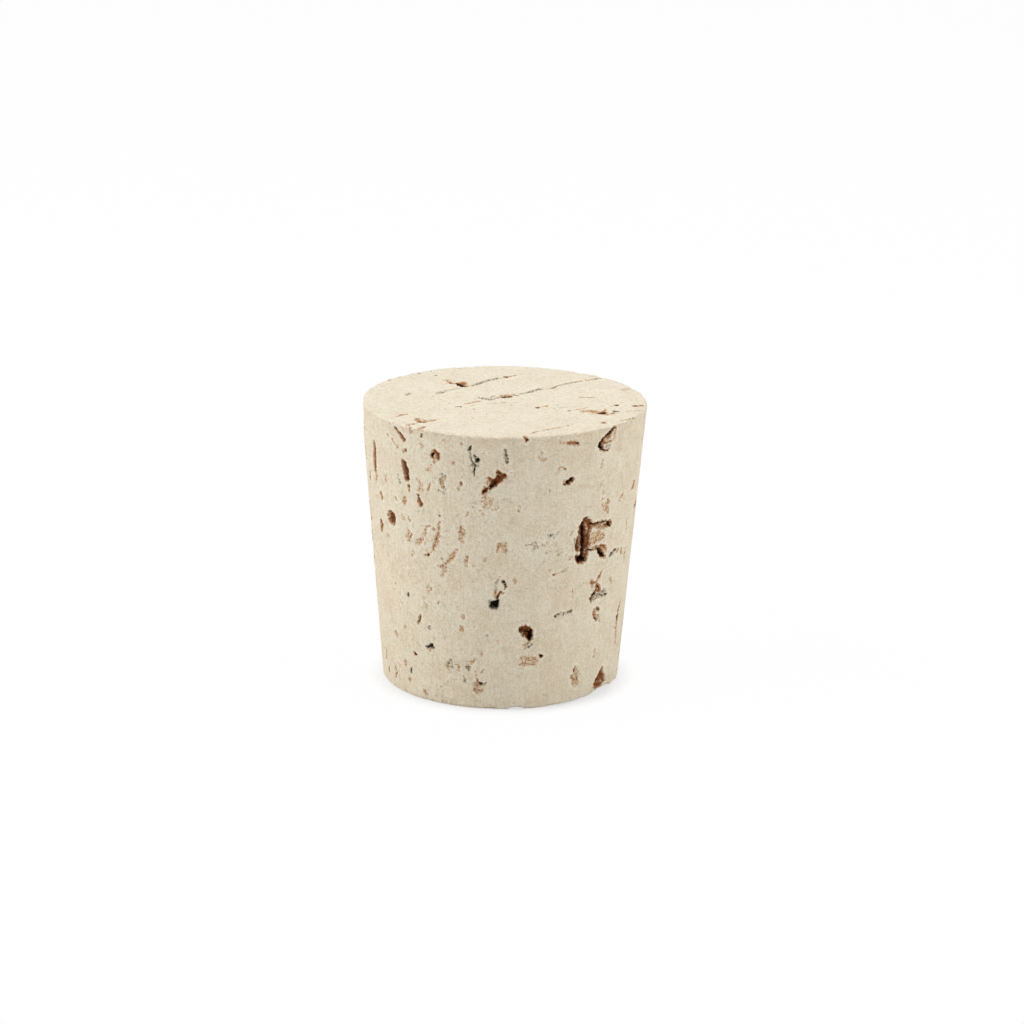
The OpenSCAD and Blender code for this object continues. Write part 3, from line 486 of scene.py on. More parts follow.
HEAD_MARKS = [
    # the wedge and the crack that runs on from it
    ("brown", 0.1, [(-13.1, 2, 0.16), (-12.6, 2.6, 0.1)]),
    ("brown", 0.15, [(-8.6, 3.6, 0.2)]),
    ("brown", 0.2, [(0.6, 12.8, 0.14), (1.6, 13.6, 0.12)]),
    ("brown", 0.25, [(-5.6, 9.2, 0.5), (-5.3, 8.3, 0.4)], [(-1.9, 10.9, 0.26)]),
    ("brown", 0.3, [(-6.8, 8.4, 0.2), (-6.3, 8.6, 0.28)],
     [(-5, 7.2, 0.25), (-4.7, 7.3, 0.2), (-4.2, 7.5, 0.27)], [(-4.1, 8, 0.28)], [(-3.4, 9, 0.26)]),
    ("brown", 0.5, [(-7.7, 9.8, 0.3), (-7.2, 9.1, 0.35), (-7, 8.5, 0.38)]),
    ("dark", 0.25, [(-6.2, 8.7, 0.4), (-6, 7.9, 0.52), (-5.6, 7.1, 0.5), (-5.2, 6.9, 0.3)]),
    ("dark", 0.3, [(-3.5, 8.8, 0.14), (-3.2, 9.3, 0.1)], [(-2, 10.8, 0.14), (-1.6, 11.2, 0.12)]),
    ("dark", 0.35, [(0.2, 12.5, 0.42)]),
    ("dark", 0.6, [(-7.05, 8.5, 0.26)]),
    ("black", 0.28, [(-6, 8.2, 0.34), (-5.8, 7.5, 0.45), (-5.6, 7.1, 0.38)]),
    ("tan", 0.2, [(-8.1, 10.6, 0.25), (-7.5, 9.8, 0.45), (-7, 8.8, 0.4)]),
    ("grey", 0.1, [(0.5, 12.7, 0.2), (1.4, 13.4, 0.16), (2.4, 14.2, 0.1)], [(-9.4, 13, 0.35)]),
    ("grey", 0.15, [(-8.8, 3.4, 0.45), (-8.2, 4, 0.42)], [(-13.1, 2, 0.32), (-12.4, 2.9, 0.22)]),
    ("grey", 0.2, [(-8.2, 4, 0.3), (-7.6, 4.8, 0.22), (-6.8, 5.5, 0.16), (-6, 6.2, 0.14)]),
    ("grey", 0.25, [(-0.9, 11.6, 0.28)]),
    ("grey", 0.3, [(-3.9, 8.2, 0.4), (-3, 9.6, 0.32), (-1.9, 11, 0.4), (-0.6, 11.9, 0.3)],
     [(-2.7, 10, 0.3)]),
    # nicks at the back of the rim
    ("brown", 0.4, [(-15.8, 9.9, 0.45)]),
    ("grey", 0.3, [(-14.6, 11.5, 0.45)], [(-11.8, 14, 0.45)], [(-10.4, 15.5, 0.4)]),
    # left
    ("brown", 0.15, [(-13.9, -9.3, 0.1), (-13.2, -8.4, 0.12)],
     [(-10, -11.8, 0.2), (-9.3, -11, 0.14), (-8.4, -10.4, 0.1)], [(-10.6, -14.9, 0.18)]),
    ("brown", 0.2, [(-11.2, -11, 0.45), (-10.8, -11.4, 0.45)]),
    ("brown", 0.35, [(-12.3, -13.7, 0.3)]),
    ("brown", 0.6, [(-11, -12, 0.4), (-10.4, -12.1, 0.38)]),
    ("dark", 0.4, [(-10.4, -12, 0.34)]),
    ("tan", 0.15, [(-14, -9.4, 0.2), (-13.4, -8.6, 0.27), (-12.6, -8, 0.18)],
     [(-12.2, -13.3, 0.45), (-11.5, -12.9, 0.3)], [(-10.8, -15.2, 0.35), (-10.3, -14.3, 0.3)]),
    ("tan", 0.2, [(-11.3, -10.3, 0.35), (-10, -11.6, 0.35), (-9, -11, 0.25)]),
    ("grey", 0.15, [(-6.3, -3.8, 0.32), (-5.6, -3.8, 0.25)]),
    # the long middle crack
    ("brown", 0.2, [(3.3, 4.5, 0.2)]),
    ("brown", 0.25, [(0.9, 2.6, 0.2), (1.6, 3, 0.18)]),
    ("brown", 0.3, [(-2.6, 0.3, 0.2)], [(-1.8, 0.2, 0.28)], [(-1.1, 0.9, 0.24)],
     [(-0.9, 1.2, 0.24), (-0.6, 1.6, 0.2)]),
    ("brown", 0.35, [(11.3, 11.5, 0.33)], [(4.9, -3.4, 0.14), (5.4, -3.1, 0.26), (5.9, -2.6, 0.14)]),
    ("dark", 0.15, [(0, 1.6, 0.5), (0.5, 1.8, 0.55)]),
    ("dark", 0.2, [(8.7, 9.5, 0.12)]),
    ("dark", 0.3, [(3, 4.2, 0.12), (3.5, 4.8, 0.14)]),
    ("dark", 0.35, [(4.4, -3.8, 0.36)]),
    ("black", 0.2, [(0, 1.6, 0.45), (0.6, 1.8, 0.48)]),
    ("tan", 0.05, [(-0.3, 2.2, 0.4), (0.5, 2.7, 0.4)]),
    ("tan", 0.1, [(6.6, 7.3, 0.2), (7.6, 8.6, 0.2)], [(8.8, 9.6, 0.22), (10, 10.6, 0.18)]),
    ("tan", 0.12, [(-5.2, -2.4, 0.14), (-4.2, -1.6, 0.24), (-3.3, -0.7, 0.22)]),
    ("grey", 0.1, [(11.9, 11.9, 0.2), (13, 12.7, 0.25), (13.8, 13.2, 0.12)]),
    ("grey", 0.15, [(1.1, 3.1, 0.3), (1.8, 2.6, 0.3)],
     [(8.8, 9.6, 0.2), (10, 10.7, 0.25), (10.9, 11.3, 0.2)]),
    ("grey", 0.2, [(-3.2, 1.2, 0.36), (-2.6, 0.4, 0.34), (-1.5, 0.3, 0.38)],
     [(-1.7, 1.7, 0.25), (-1.3, 2.3, 0.2)], [(2.2, 3.4, 0.26), (3.3, 4.5, 0.38), (4.2, 5.4, 0.28)],
     [(5.2, 6.3, 0.12), (6.4, 6.6, 0.25), (7.3, 8.3, 0.18), (8.7, 9.6, 0.3)]),
    ("grey", 0.3, [(4.5, 6, 0.36), (5, 6.5, 0.34)]),
    # right
    ("brown", 0.15, [(11.4, -4.7, 0.25), (12, -5.1, 0.32)]),
    ("brown", 0.2, [(15.6, -0.5, 0.22)]),
    ("brown", 0.3, [(13.2, -5, 0.24), (13.4, -4, 0.14)]),
    ("brown", 0.35, [(13.5, -6.3, 0.22), (14.1, -6.4, 0.22), (14.5, -5.6, 0.18)]),
    ("brown", 0.5, [(13.1, -11.3, 0.34)]),
    ("dark", 0.2, [(12.6, -5.9, 0.5), (13.1, -5.7, 0.5)]),
    ("dark", 0.3, [(14.9, -1.9, 0.34)], [(18.2, -1.8, 0.32)]),
    ("dark", 0.35, [(17.4, -2.2, 0.42)]),
    ("black", 0.22, [(12.6, -5.9, 0.42), (13.1, -5.8, 0.4)]),
    ("black", 0.3, [(14.5, -4.9, 0.2), (15, -5.2, 0.2)]),
    ("tan", 0.06, [(10.2, 2.1, 0.2), (12, 2.1, 0.25)]),
    ("tan", 0.08, [(10.4, -5, 0.5), (11.8, -5.6, 0.7), (13.4, -6.6, 0.6)]),
    ("tan", 0.1, [(16.2, -4.9, 0.2), (17.4, -4.5, 0.18), (18, -4.7, 0.12)],
     [(15.7, 6.3, 0.22), (16.9, 7.2, 0.25)], [(15.2, -9.9, 0.14), (16.4, -8.8, 0.24), (17.3, -7.8, 0.12)]),
    ("tan", 0.2, [(12.9, -10.9, 0.5)]),
    ("grey", 0.08, [(7.3, -3.6, 0.2), (8.1, -3.2, 0.25)]),
    ("grey", 0.1, [(8.6, -5.1, 0.3)]),
    ("grey", 0.15, [(14.2, -2.6, 0.25)]),
    # front
    ("brown", 0.1, [(4, -16.3, 0.07), (5.5, -14.9, 0.1), (6.4, -14.3, 0.07)]),
    ("brown", 0.4, [(2.7, -18.5, 0.3)]),
    ("tan", 0.08, [(9.4, -4.6, 0.2), (11, -3.4, 0.2)]),
    ("tan", 0.1, [(8.4, -12.6, 0.12), (9.6, -10.9, 0.08)]),
    ("tan", 0.12, [(3.3, -17.4, 0.12), (4.2, -16, 0.2), (6, -14.6, 0.18), (8.4, -12.6, 0.12)]),
]

HEAD_SPECKS = [
    ("grey", 30, (-1, -2.5), (2.6, 2.6), 0.14, 0.06),
    ("tan", 20, (-1, -2.5), (3.5, 4), 0.16, 0.05),
    ("tan", 20, (12.5, -6), (2.5, 2), 0.2, 0.08),
    ("grey", 14, (-2, 1), (1.4, 1), 0.14, 0.12),
    ("tan", 12, (-7, 9.5), (1.4, 1.6), 0.18, 0.08),
    ("tan", 40, (0, 0), (10, 10), 0.16, 0.04),
]

# Worn or pressed places: (turn, height, half width, half height, depth), in mm but for turn
DENTS = [
    (-88, 37, 9, 4, 0.25),
    (58, 0, 9, 1.6, 0.35),
    (-5, 0, 1.6, 0.5, 0.3),
    (8, 0, 1.2, 0.5, 0.3),
    (150, 36, 5, 3, 0.2),
    (200, 1, 6, 2, 0.25),
]

# Worn edge of the foot: (turn, reach in mm, how far the edge has risen in mm, share of the
# reach where it has risen fully)
FOOT_WEAR = [(50, 12, 0.3, 0.3), (60, 2.9, 0.55, 0.5), (8, 1.3, 0.35, 0.5)]

# The side that has no listed marks gets random ones: (turns from and to, how many)
WILD_STRETCHES = [((78, 180), 85), ((180, 286), 85)]
WILD_ON_FOOT = 60
WILD_ON_SIDE = {"dark": 0.26, "brown": 0.34, "tan": 0.24, "grey": 0.1, "black": 0.06}  # share of each
WILD_ON_END = {"brown": 0.35, "tan": 0.3, "grey": 0.2, "dark": 0.15}
WILD_SIZE = 0.6  # mm, usual size of a random mark; larger ones branch
WANDER_POINTS = 5  # points of a random stroke
END_GAP = 0.5  # mm of the side, at each end, where no random mark starts
BRANCH_DEPTH, STREAK_DEPTH, CRUMB_DEPTH = 0.25, 0.1, 0.1  # mm

KINDS = ("brown", "dark", "black", "tan", "grey")
REACH = 0.8  # mm beyond which a mark's distance no longer matters
WALL = 0.144  # mm over which a pit's wall drops
INSET = {"brown": 0.04, "black": 0.03}  # mm by which a mark's colour keeps inside its outline
DARK_RIM = 0.02  # mm by which the brown round a dark stroke goes beyond its outline
DARK_INSET = 0.15  # share of its smaller radius by which the near-black keeps inside it
BROWN_CUT = 0.8  # a brown stroke cuts this share of its depth
SWAY = 0.17  # mm that a noise of 1 moves an outline by


def strokes_from(marks, place):
    """Tapered segments of every stroke: rows of (kind, depth, start, end, radius, radius)."""
    rows = []
    for kind, depth, *strokes in marks:
        for points in strokes:
            spots = [(place(u, v), r) for u, v, r in points]
            for (start, r0), (end, r1) in zip(spots, spots[1:] or spots):
                rows.append((kind, depth, start, end, r0, r1))
    return rows


def scattered(specks, rng, per_mm):
    """Small dots and dashes within each speckled patch. per_mm turns 1 mm across into the units
    of the patch's first place."""
    marks = []
    for kind, count, (u0, v0), (half_w, half_h), largest, depth in specks:
        for _ in range(count):
            across, up = rng.normal(0, 0.5, 2)
            u = u0 + half_w * across * per_mm
            v = v0 + half_h * up
            du, dv = rng.normal(0, 0.15, 2)
            r = largest * rng.uniform(0.4, 1)
            marks.append((kind, depth, [(u, v, r), (u + du * per_mm, v + dv, r * 0.6)]))
    return marks


def pick(rng, shares):
    """One of the kinds, drawn by its share."""
    return str(rng.choice(list(shares), p=list(shares.values())))


def wander(rng, turn, height, heading, reach, thick):
    """Points of a stroke that strays from its heading and is thickest somewhere inside."""
    points = []
    bulge = rng.uniform(0.25, 0.75)
    for t in np.linspace(0, 1, WANDER_POINTS):
        stray = rng.normal(0, 0.08 + 0.08 * reach, 2)
        side = reach * (2 * t - 1) * math.sin(heading) + stray[0]
        up = reach * (2 * t - 1) * math.cos(heading) + stray[1]
        swell = 1 - abs(t - bulge) / max(bulge, 1 - bulge)
        r = max(0.04, thick * (0.25 + 0.9 * swell) * rng.uniform(0.7, 1.3))
        points.append((turn + as_turn(side, height), height + up, r))
    return points


def crumble(rng, kind, points, count, spread):
    """Dots of a kind, round the points of a stroke."""
    marks = []
    for _ in range(count):
        turn, height, r = points[rng.integers(len(points))]
        side, up = rng.normal(0, spread + r, 2)
        dot = (turn + as_turn(side, height), height + up, rng.uniform(0.04, 0.15))
        marks.append((kind, CRUMB_DEPTH, [dot]))
    return marks


def wild_mark(rng, turns):
    """One natural mark of the side, with its crumbs and branches. Where the pores run out of the
    side it is an upright oval, and where they run along it, a level streak."""
    turn, height = rng.uniform(*turns), rng.uniform(END_GAP, LENGTH - END_GAP)
    level = abs(math.cos(math.radians(turn) - PORE_RUN)) > rng.uniform(0.45, 0.95)
    heading = math.radians(rng.normal(0, 16) + (90 if level else 0))
    size = WILD_SIZE * rng.lognormal(0, 0.55)
    kind = pick(rng, WILD_ON_SIDE)
    reach, thick = (1.3 * size, 0.2 * size) if level else (0.8 * size, 0.36 * size)
    depth = {"tan": 0.08, "grey": 0.1}.get(kind, min(0.2 + 0.8 * size, 1.4))
    main = wander(rng, turn, height, heading, reach, max(thick, 0.08))
    marks = [(kind, depth, main)]
    if kind in ("dark", "brown"):
        marks += crumble(rng, "tan", main, rng.poisson(1 + 4 * size), 0.2)
        marks += crumble(rng, "brown", main, rng.poisson(1.5 * size), 0.5)
    if size > WILD_SIZE and kind != "tan":
        fork_turn, fork_height, _ = main[rng.integers(WANDER_POINTS)]
        branch = wander(rng, fork_turn, fork_height + rng.normal(0, 0.4), heading, 0.6 * reach, 0.09)
        marks.append(("brown" if kind == "dark" else kind, BRANCH_DEPTH, branch))
    if rng.uniform() < 0.3:
        streak = wander(rng, turn, height + 2, math.radians(80), 1.1, 0.05)
        marks.append(("brown", STREAK_DEPTH, streak))
    return marks


def wild_end_marks(rng, radius, count):
    """Cracks, streaks and dots along the pores, for an end face."""
    marks = []
    c, s = math.cos(PORE_RUN), math.sin(PORE_RUN)
    for _ in range(count):
        across, along = rng.uniform(-0.9, 0.9) * radius, rng.uniform(-0.6, 0.6) * radius
        reach = rng.gamma(1.5, 1.3)
        kind = pick(rng, WILD_ON_END)
        points = []
        for step in np.linspace(-1, 1, WANDER_POINTS):
            u, v = along + reach * step, across + rng.normal(0, 0.16)
            r = max(0.05, rng.uniform(0.04, 0.16) * (1.4 if kind == "dark" else 1))
            points.append((u * c - v * s, u * s + v * c, r))
        if max(math.hypot(x, y) for x, y, _ in points) < radius:
            marks.append((kind, 0.12 + 0.25 * (kind in ("brown", "dark")), points))
    return marks


def all_strokes():
    """Segments of the listed marks, of the specks, and of the random marks."""
    rng = np.random.default_rng(SEEDS["marks"])
    side = SIDE_MARKS + scattered(SIDE_SPECKS, rng, as_turn(1, LENGTH / 2))
    for turns, count in WILD_STRETCHES:
        for _ in range(count):
            side += wild_mark(rng, turns)
    rows = strokes_from(side, on_side)
    head = HEAD_MARKS + scattered(HEAD_SPECKS, rng, 1)
    rows += strokes_from(head, lambda x, y: np.array([x, y, LENGTH]))
    foot = wild_end_marks(rng, TAPER["foot_flat"], WILD_ON_FOOT)
    rows += strokes_from(foot, lambda x, y: np.array([x, y, 0.0]))
    return rows


STROKES = all_strokes()


def stroke_distance(p, start, end, r0, r1):
    """Distance of each point from a segment's outline, negative inside it."""
    way = end - start
    span = way @ way
    t = np.clip((p - start) @ way / span, 0, 1) if span > 0 else np.zeros(len(p))
    gap = p - start - t[:, None] * way
    return np.sqrt((gap * gap).sum(1)) - (r0 + (r1 - r0) * t)


def ragged(p):
    """Moves points a little before their distance to a mark is taken, so that outlines fray."""
    sway = [rough(p, 2.2, 3, seed) for seed in SEEDS["sway"]]
    return p + SWAY * np.stack(sway, -1)


def mark_fields(p):
    """For each point, a row of its distances to the nearest mark of each kind, and how deep the
    marks cut there. Marks meet in the least distance and the greatest depth, so that their order
    doesn't matter."""
    q = ragged(p)
    near = {kind: np.full(len(p), REACH) for kind in KINDS}
    relief = np.zeros(len(p))
    for kind, depth, start, end, r0, r1 in STROKES:
        middle, half = (start + end) / 2, np.linalg.norm(end - start) / 2
        close = np.flatnonzero((np.abs(q - middle) < half + max(r0, r1) + REACH).all(1))
        if not len(close):
            continue
        d = stroke_distance(q[close], start, end, r0, r1)
        if kind == "dark":
            near["brown"][close] = np.minimum(near["brown"][close], d - DARK_RIM)
            near["dark"][close] = np.minimum(near["dark"][close], d + DARK_INSET * min(r0, r1))
        else:
            near[kind][close] = np.minimum(near[kind][close], d + INSET.get(kind, 0))
        cut = depth * (BROWN_CUT if kind == "brown" else 1)
        relief[close] = np.maximum(relief[close], cut * smooth(0, -WALL, d))
    return np.stack([near[kind] for kind in KINDS] + [relief], -1)


# ---------------------------------------------------------------- the mesh

FINE, MIDDLE, COARSE = 0.17, 0.34, 0.85  # longest edges in mm: in pits, at the rims, elsewhere
STAIN_EDGE = 1.9 * FINE  # longest edge in a tan or grey mark
PIT_GROWTH, STAIN_GROWTH, RIM_GROWTH = 1.7, 2, 0.5  # mm that an edge may grow by, per mm away
RIM_BAND = 0.5  # mm from a rim within which its edges don't grow
ROUND = 48  # vertices round each ring of the first mesh
SIDE_RINGS = 19
SIDE_ENDS = (0.02, 0.98)  # first and last ring of the side, as shares of the length
END_RINGS = (0.25, 0.5, 0.75, 1)  # rings of each end, as shares of its flat

# Depths in mm of what is cut besides the marks
CHANNEL_DEPTH = 0.07
GRAIN_DEPTH = 0.012
WAVE_DEPTH = 0.015
SKIN_DEPTH = 0.02  # cut everywhere, so that the grain and waves can rise without standing proud
HEAD_CHIP_DEPTH = 0.22
FOOT_CHIP_DEPTH = 0.2


def coarse_taper():
    """Closed triangle mesh of the taper: rings from the middle of the foot to the head's."""
    rings = [(TAPER["foot_flat"] * s, 0.0) for s in END_RINGS]
    rings += [(side_radius(LENGTH * s), LENGTH * s) for s in np.linspace(*SIDE_ENDS, SIDE_RINGS)]
    rings += [(TAPER["head_flat"] * s, LENGTH) for s in reversed(END_RINGS)]
    turn = np.linspace(0, 2 * math.pi, ROUND, endpoint=False)
    verts = [np.array([[0, 0, 0]])]
    for k, (r, z) in enumerate(rings):
        a = turn + (k % 2) * math.pi / ROUND
        verts.append(np.stack([r * np.sin(a), -r * np.cos(a), np.full(ROUND, z)], -1))
    verts.append(np.array([[0, 0, LENGTH]]))
    faces = []
    last = 1 + ROUND * len(rings)
    for i in range(ROUND):
        j = (i + 1) % ROUND
        faces.append((0, 1 + j, 1 + i))
        faces.append((last, last - ROUND + i, last - ROUND + j))
        for k in range(len(rings) - 1):
            low, high = 1 + k * ROUND, 1 + (k + 1) * ROUND
            if k % 2:
                faces += [(low + i, low + j, high + j), (low + i, high + j, high + i)]
            else:
                faces += [(low + i, low + j, high + i), (low + j, high + j, high + i)]
    return np.concatenate(verts).astype(float), np.array(faces)


def wanted_edge(p, fields):
    """Longest edge wanted near each point."""
    brown, _, black, tan, grey, _ = fields.T
    pit = np.maximum(np.minimum(brown, black), 0)
    stain = np.maximum(np.minimum(tan, grey), 0)
    edge = np.minimum(FINE + PIT_GROWTH * pit, STAIN_EDGE + STAIN_GROWTH * stain)
    rim = np.minimum(from_rim(p, *HEAD_RIM), from_rim(p, *FOOT_RIM))
    edge = np.minimum(edge, MIDDLE + RIM_GROWTH * np.maximum(rim - RIM_BAND, 0))
    return np.minimum(edge, COARSE)


def split_faces(faces, middle, where, first):
    """Cuts triangles at the middles of their split edges. middle gives each edge its new vertex,
    or -1, where gives each triangle its edges, and first is the place of its longest."""
    order = (first[:, None] + np.arange(3)) % 3
    a, b, c = np.take_along_axis(faces, order, 1).T
    m, n, o = middle[np.take_along_axis(where, order, 1)].T
    pieces = [faces[m < 0]]
    for has_n, has_o in ((0, 0), (1, 0), (0, 1), (1, 1)):
        chosen = (m >= 0) & ((n >= 0) == has_n) & ((o >= 0) == has_o)
        left = [(a, m, c)] if not has_o else [(a, m, o), (m, c, o)]
        right = [(m, b, c)] if not has_n else [(m, b, n), (m, n, c)]
        pieces += [np.stack([v[chosen] for v in tri], -1) for tri in left + right]
    return np.concatenate(pieces)


def split_once(verts, fields, faces):
    """Halves every edge that is too long, and the longest edge of every triangle it touches."""
    pairs = np.sort(np.stack([faces, np.roll(faces, -1, 1)], -1).reshape(-1, 2), axis=1)
    edges, where = np.unique(pairs, axis=0, return_inverse=True)
    where = where.reshape(-1, 3)
    ends = verts[edges]
    length = np.linalg.norm(ends[:, 0] - ends[:, 1], axis=1)
    marked = length > wanted_edge(verts, fields)[edges].min(1)
    if not marked.any():
        return verts, fields, faces, False
    first = length[where].argmax(1)
    longest = where[np.arange(len(faces)), first]
    while True:
        more = longest[marked[where].any(1) & ~marked[longest]]
        if not len(more):
            break
        marked[more] = True
    middle = np.full(len(edges), -1)
    middle[marked] = len(verts) + np.arange(marked.sum())
    added, _ = on_blank(ends[marked].mean(1))
    verts = np.concatenate([verts, added])
    fields = np.concatenate([fields, mark_fields(added)])
    return verts, fields, split_faces(faces, middle, where, first), True


def refined_taper():
    """Vertices, mark fields and faces of the taper, fine enough everywhere."""
    verts, faces = coarse_taper()
    verts, _ = on_blank(verts)
    fields = mark_fields(verts)
    more = True
    while more:
        verts, fields, faces, more = split_once(verts, fields, faces)
    return verts, fields, faces


def dents(p):
    """Depth of the worn places at each point."""
    total = np.zeros(len(p))
    for turn, height, half_w, half_h, depth in DENTS:
        gap = p - on_side(turn, height)
        a = math.radians(turn)
        across = gap[:, 0] * math.cos(a) + gap[:, 1] * math.sin(a)
        inward = gap[:, 0] * math.sin(a) - gap[:, 1] * math.cos(a)
        far = np.sqrt((across / half_w) ** 2 + (gap[:, 2] / half_h) ** 2 + (inward / half_h) ** 2)
        total += depth * smooth(1, 0, far)
    return total


def lifted(p):
    """p with the worn edge of the foot raised."""
    rise = np.zeros(len(p))
    for turn, reach, height, full in FOOT_WEAR:
        rise += height * smooth(1, full, np.linalg.norm(p - on_side(turn, 0), axis=1) / reach)
    return np.column_stack([p[:, :2], np.maximum(p[:, 2], rise)])


def carve(p, normal, fields):
    """Depth to cut at each point of the smooth taper, and how far it belongs to an end."""
    *_, tan, grey, relief = fields.T
    end_face = smooth(0.5, 0.95, np.abs(normal[:, 2]))
    floor = 1 + 0.35 * rough(p, 2.2, 2, SEEDS["pit floor"])
    pits = relief * np.clip(floor, 0.55, 1.4)
    crumbs = smooth(0.15, -0.1, np.minimum(tan, grey)) * (0.03 + 0.05 * noise(p * 3, SEEDS["crumbs"]))
    runs = noise(grain_frame(p, 0.15) * 1.1, SEEDS["channels"])
    channels = smooth(0.42, 0.62, runs) * CHANNEL_DEPTH
    upright = p * np.array([3.2, 3.2, 0.35])
    grain = GRAIN_DEPTH * noise(upright, SEEDS["side grain"]) * (1 - end_face)
    grain += GRAIN_DEPTH * noise(grain_frame(p, 0.2) * 2.4, SEEDS["end grain"]) * end_face
    waves = WAVE_DEPTH * rough(p, 0.35, 2, SEEDS["waves"])
    at_head = smooth(0.9, 0.1, from_rim(p, *HEAD_RIM))
    at_foot = smooth(1.0, 0.2, from_rim(p, *FOOT_RIM))
    chips = at_head * smooth(0.1, 0.75, rough(p, 0.9, 3, SEEDS["head chips"])) * HEAD_CHIP_DEPTH
    chips += at_foot * smooth(0.15, 0.7, rough(p, 0.7, 3, SEEDS["foot chips"])) * FOOT_CHIP_DEPTH
    depth = pits + np.maximum(crumbs, 0) + channels + chips + dents(p)
    return depth + np.maximum(grain + waves + SKIN_DEPTH, 0), end_face


def cork_mesh():
    """The carved cork. Its material finds the marks in the mesh's attributes."""
    verts, fields, faces = refined_taper()
    verts, normal = on_blank(verts)
    depth, end_face = carve(verts, normal, fields)
    carved = lifted(verts - normal * depth[:, None]) * MM
    mesh = bpy.data.meshes.new("cork")
    mesh.from_pydata(carved.tolist(), [], faces.tolist())
    layers = dict(zip((*KINDS, "pit", "end_face"), (*fields.T, end_face)))
    for name, values in layers.items():
        layer = mesh.attributes.new(name, "FLOAT", "POINT")
        layer.data.foreach_set("value", values.astype(np.float32))
    mesh.shade_smooth()
    mesh.validate()
    piece = bpy.data.objects.new("cork_stopper", mesh)
    bpy.context.scene.collection.objects.link(piece)
    return piece


# ---------------------------------------------------------------- the material


class Nodes:
    """Short ways to add shader nodes and join them. The functions below call one n."""

    def __init__(self, owner):
        owner.use_nodes = True
        self.tree = owner.node_tree
        self.tree.nodes.clear()

    def add(self, kind, inputs=None, **settings):
        node = self.tree.nodes.new(kind)
        for name, value in settings.items():
            setattr(node, name, value)
        for name, value in (inputs or {}).items():
            self.put(node.inputs[name], value)
        return node

    def put(self, socket, value):
        if isinstance(value, bpy.types.NodeSocket):
            self.tree.links.new(value, socket)
        else:
            socket.default_value = value

    def math(self, how, a, b=0.0, c=0.0):
        return self.add("ShaderNodeMath", {0: a, 1: b, 2: c}, operation=how).outputs[0]

    def plus(self, a, b):
        return self.math("ADD", a, b)

    def minus(self, a, b):
        return self.math("SUBTRACT", a, b)

    def times(self, a, b):
        return self.math("MULTIPLY", a, b)

    def scaled(self, vector, by):
        return self.add("ShaderNodeVectorMath", {0: vector, 1: by}, operation="MULTIPLY").outputs[0]

    def ramp(self, value, low, high, to_low=0.0, to_high=1.0):
        """Smooth rise from to_low to to_high, as the value goes from low to high."""
        return self.add(
            "ShaderNodeMapRange",
            {"Value": value, "From Min": low, "From Max": high, "To Min": to_low, "To Max": to_high},
            interpolation_type="SMOOTHSTEP",
        ).outputs[0]

    def mix(self, factor, a, b):
        node = self.add("ShaderNodeMix", data_type="RGBA")
        self.put(node.inputs[0], factor)
        self.put(node.inputs[6], a)
        self.put(node.inputs[7], b)
        return node.outputs[2]

    def tint(self, base, mask, amount, paint):
        """base with an amount of paint over it where the mask is 1."""
        return self.mix(self.times(mask, amount), base, paint)

    def noise(self, vector, scale, detail, roughness=0.55, swirl=0.0):
        return self.add(
            "ShaderNodeTexNoise",
            {
                "Vector": vector,
                "Scale": scale,
                "Detail": detail,
                "Roughness": roughness,
                "Distortion": swirl,
            },
        ).outputs["Fac"]

    def field(self, name):
        return self.add("ShaderNodeAttribute", attribute_name=name).outputs["Fac"]


def colour(red, green, blue):
    """Shader colour from the 0 to 255 values that a picture shows."""
    def linear(v):
        v /= 255
        return v / 12.92 if v <= 0.04045 else ((v + 0.055) / 1.055) ** 2.4
    return linear(red), linear(green), linear(blue), 1.0


CREAM = colour(230, 214, 187)
PALE = colour(238, 228, 204)
LIGHT = colour(243, 236, 220)
# a darker cork tone, also used for the painted shade of the crinkle grooves
SHADE = colour(210, 192, 162)
SAND = colour(207, 163, 116)
TAN = colour(211, 171, 127)
UMBER = colour(146, 92, 50)
RUST = colour(166, 96, 47)
BARK = colour(100, 48, 20)
DARK = colour(38, 17, 6)
SOOT = colour(31, 22, 11)
ASH = colour(158, 142, 110)
HAZE = colour(226, 215, 192)
# colour of the painted highlights on the crinkle ridges and on the lips of pits
PAINTED_HIGHLIGHT = colour(248, 240, 221)
SLATE = colour(92, 77, 52)

WARM_RIM = (35.8, 37.8)  # heights in mm between which the side grows warmer towards the head
BUMP_HEIGHT = 0.14 * MM


def shared_layers(n):
    """Places in mm, and the noises and masks that the layers of the material share."""
    place = n.add("ShaderNodeTexCoord").outputs["Object"]
    mm = n.scaled(place, (1 / MM, 1 / MM, 1 / MM))
    turned = n.add(
        "ShaderNodeVectorRotate", {"Vector": mm, "Angle": -PORE_RUN}, rotation_type="Z_AXIS"
    ).outputs[0]
    end_face = n.field("end_face")
    fine = n.minus(n.noise(mm, 3.4, 4, 0.7), 0.5)

    def mask(kind, width, fray, soft=0.1):
        """1 inside the marks of a kind and within a width of them in mm, with a frayed edge."""
        distance = n.plus(n.field(kind), n.times(fine, fray))
        return n.ramp(distance, width + soft, width - soft)

    return SimpleNamespace(
        mask=mask,
        mm=mm,
        end_face=end_face,
        side=n.minus(1.0, end_face),
        fleck=n.noise(mm, 3.2, 4, 0.6),
        dust=n.noise(mm, 9, 3, 0.6),
        knife=n.noise(n.scaled(mm, (1, 1, 0.07)), 4.0, 4, 0.6),
        rings=n.noise(n.scaled(turned, (1, 0.12, 0.12)), 0.9, 2),
        pores=n.noise(n.scaled(turned, (0.14, 1, 1)), 1.5, 4, 0.62),
        crumbs=n.noise(mm, 4.2, 3, 0.6),
    )


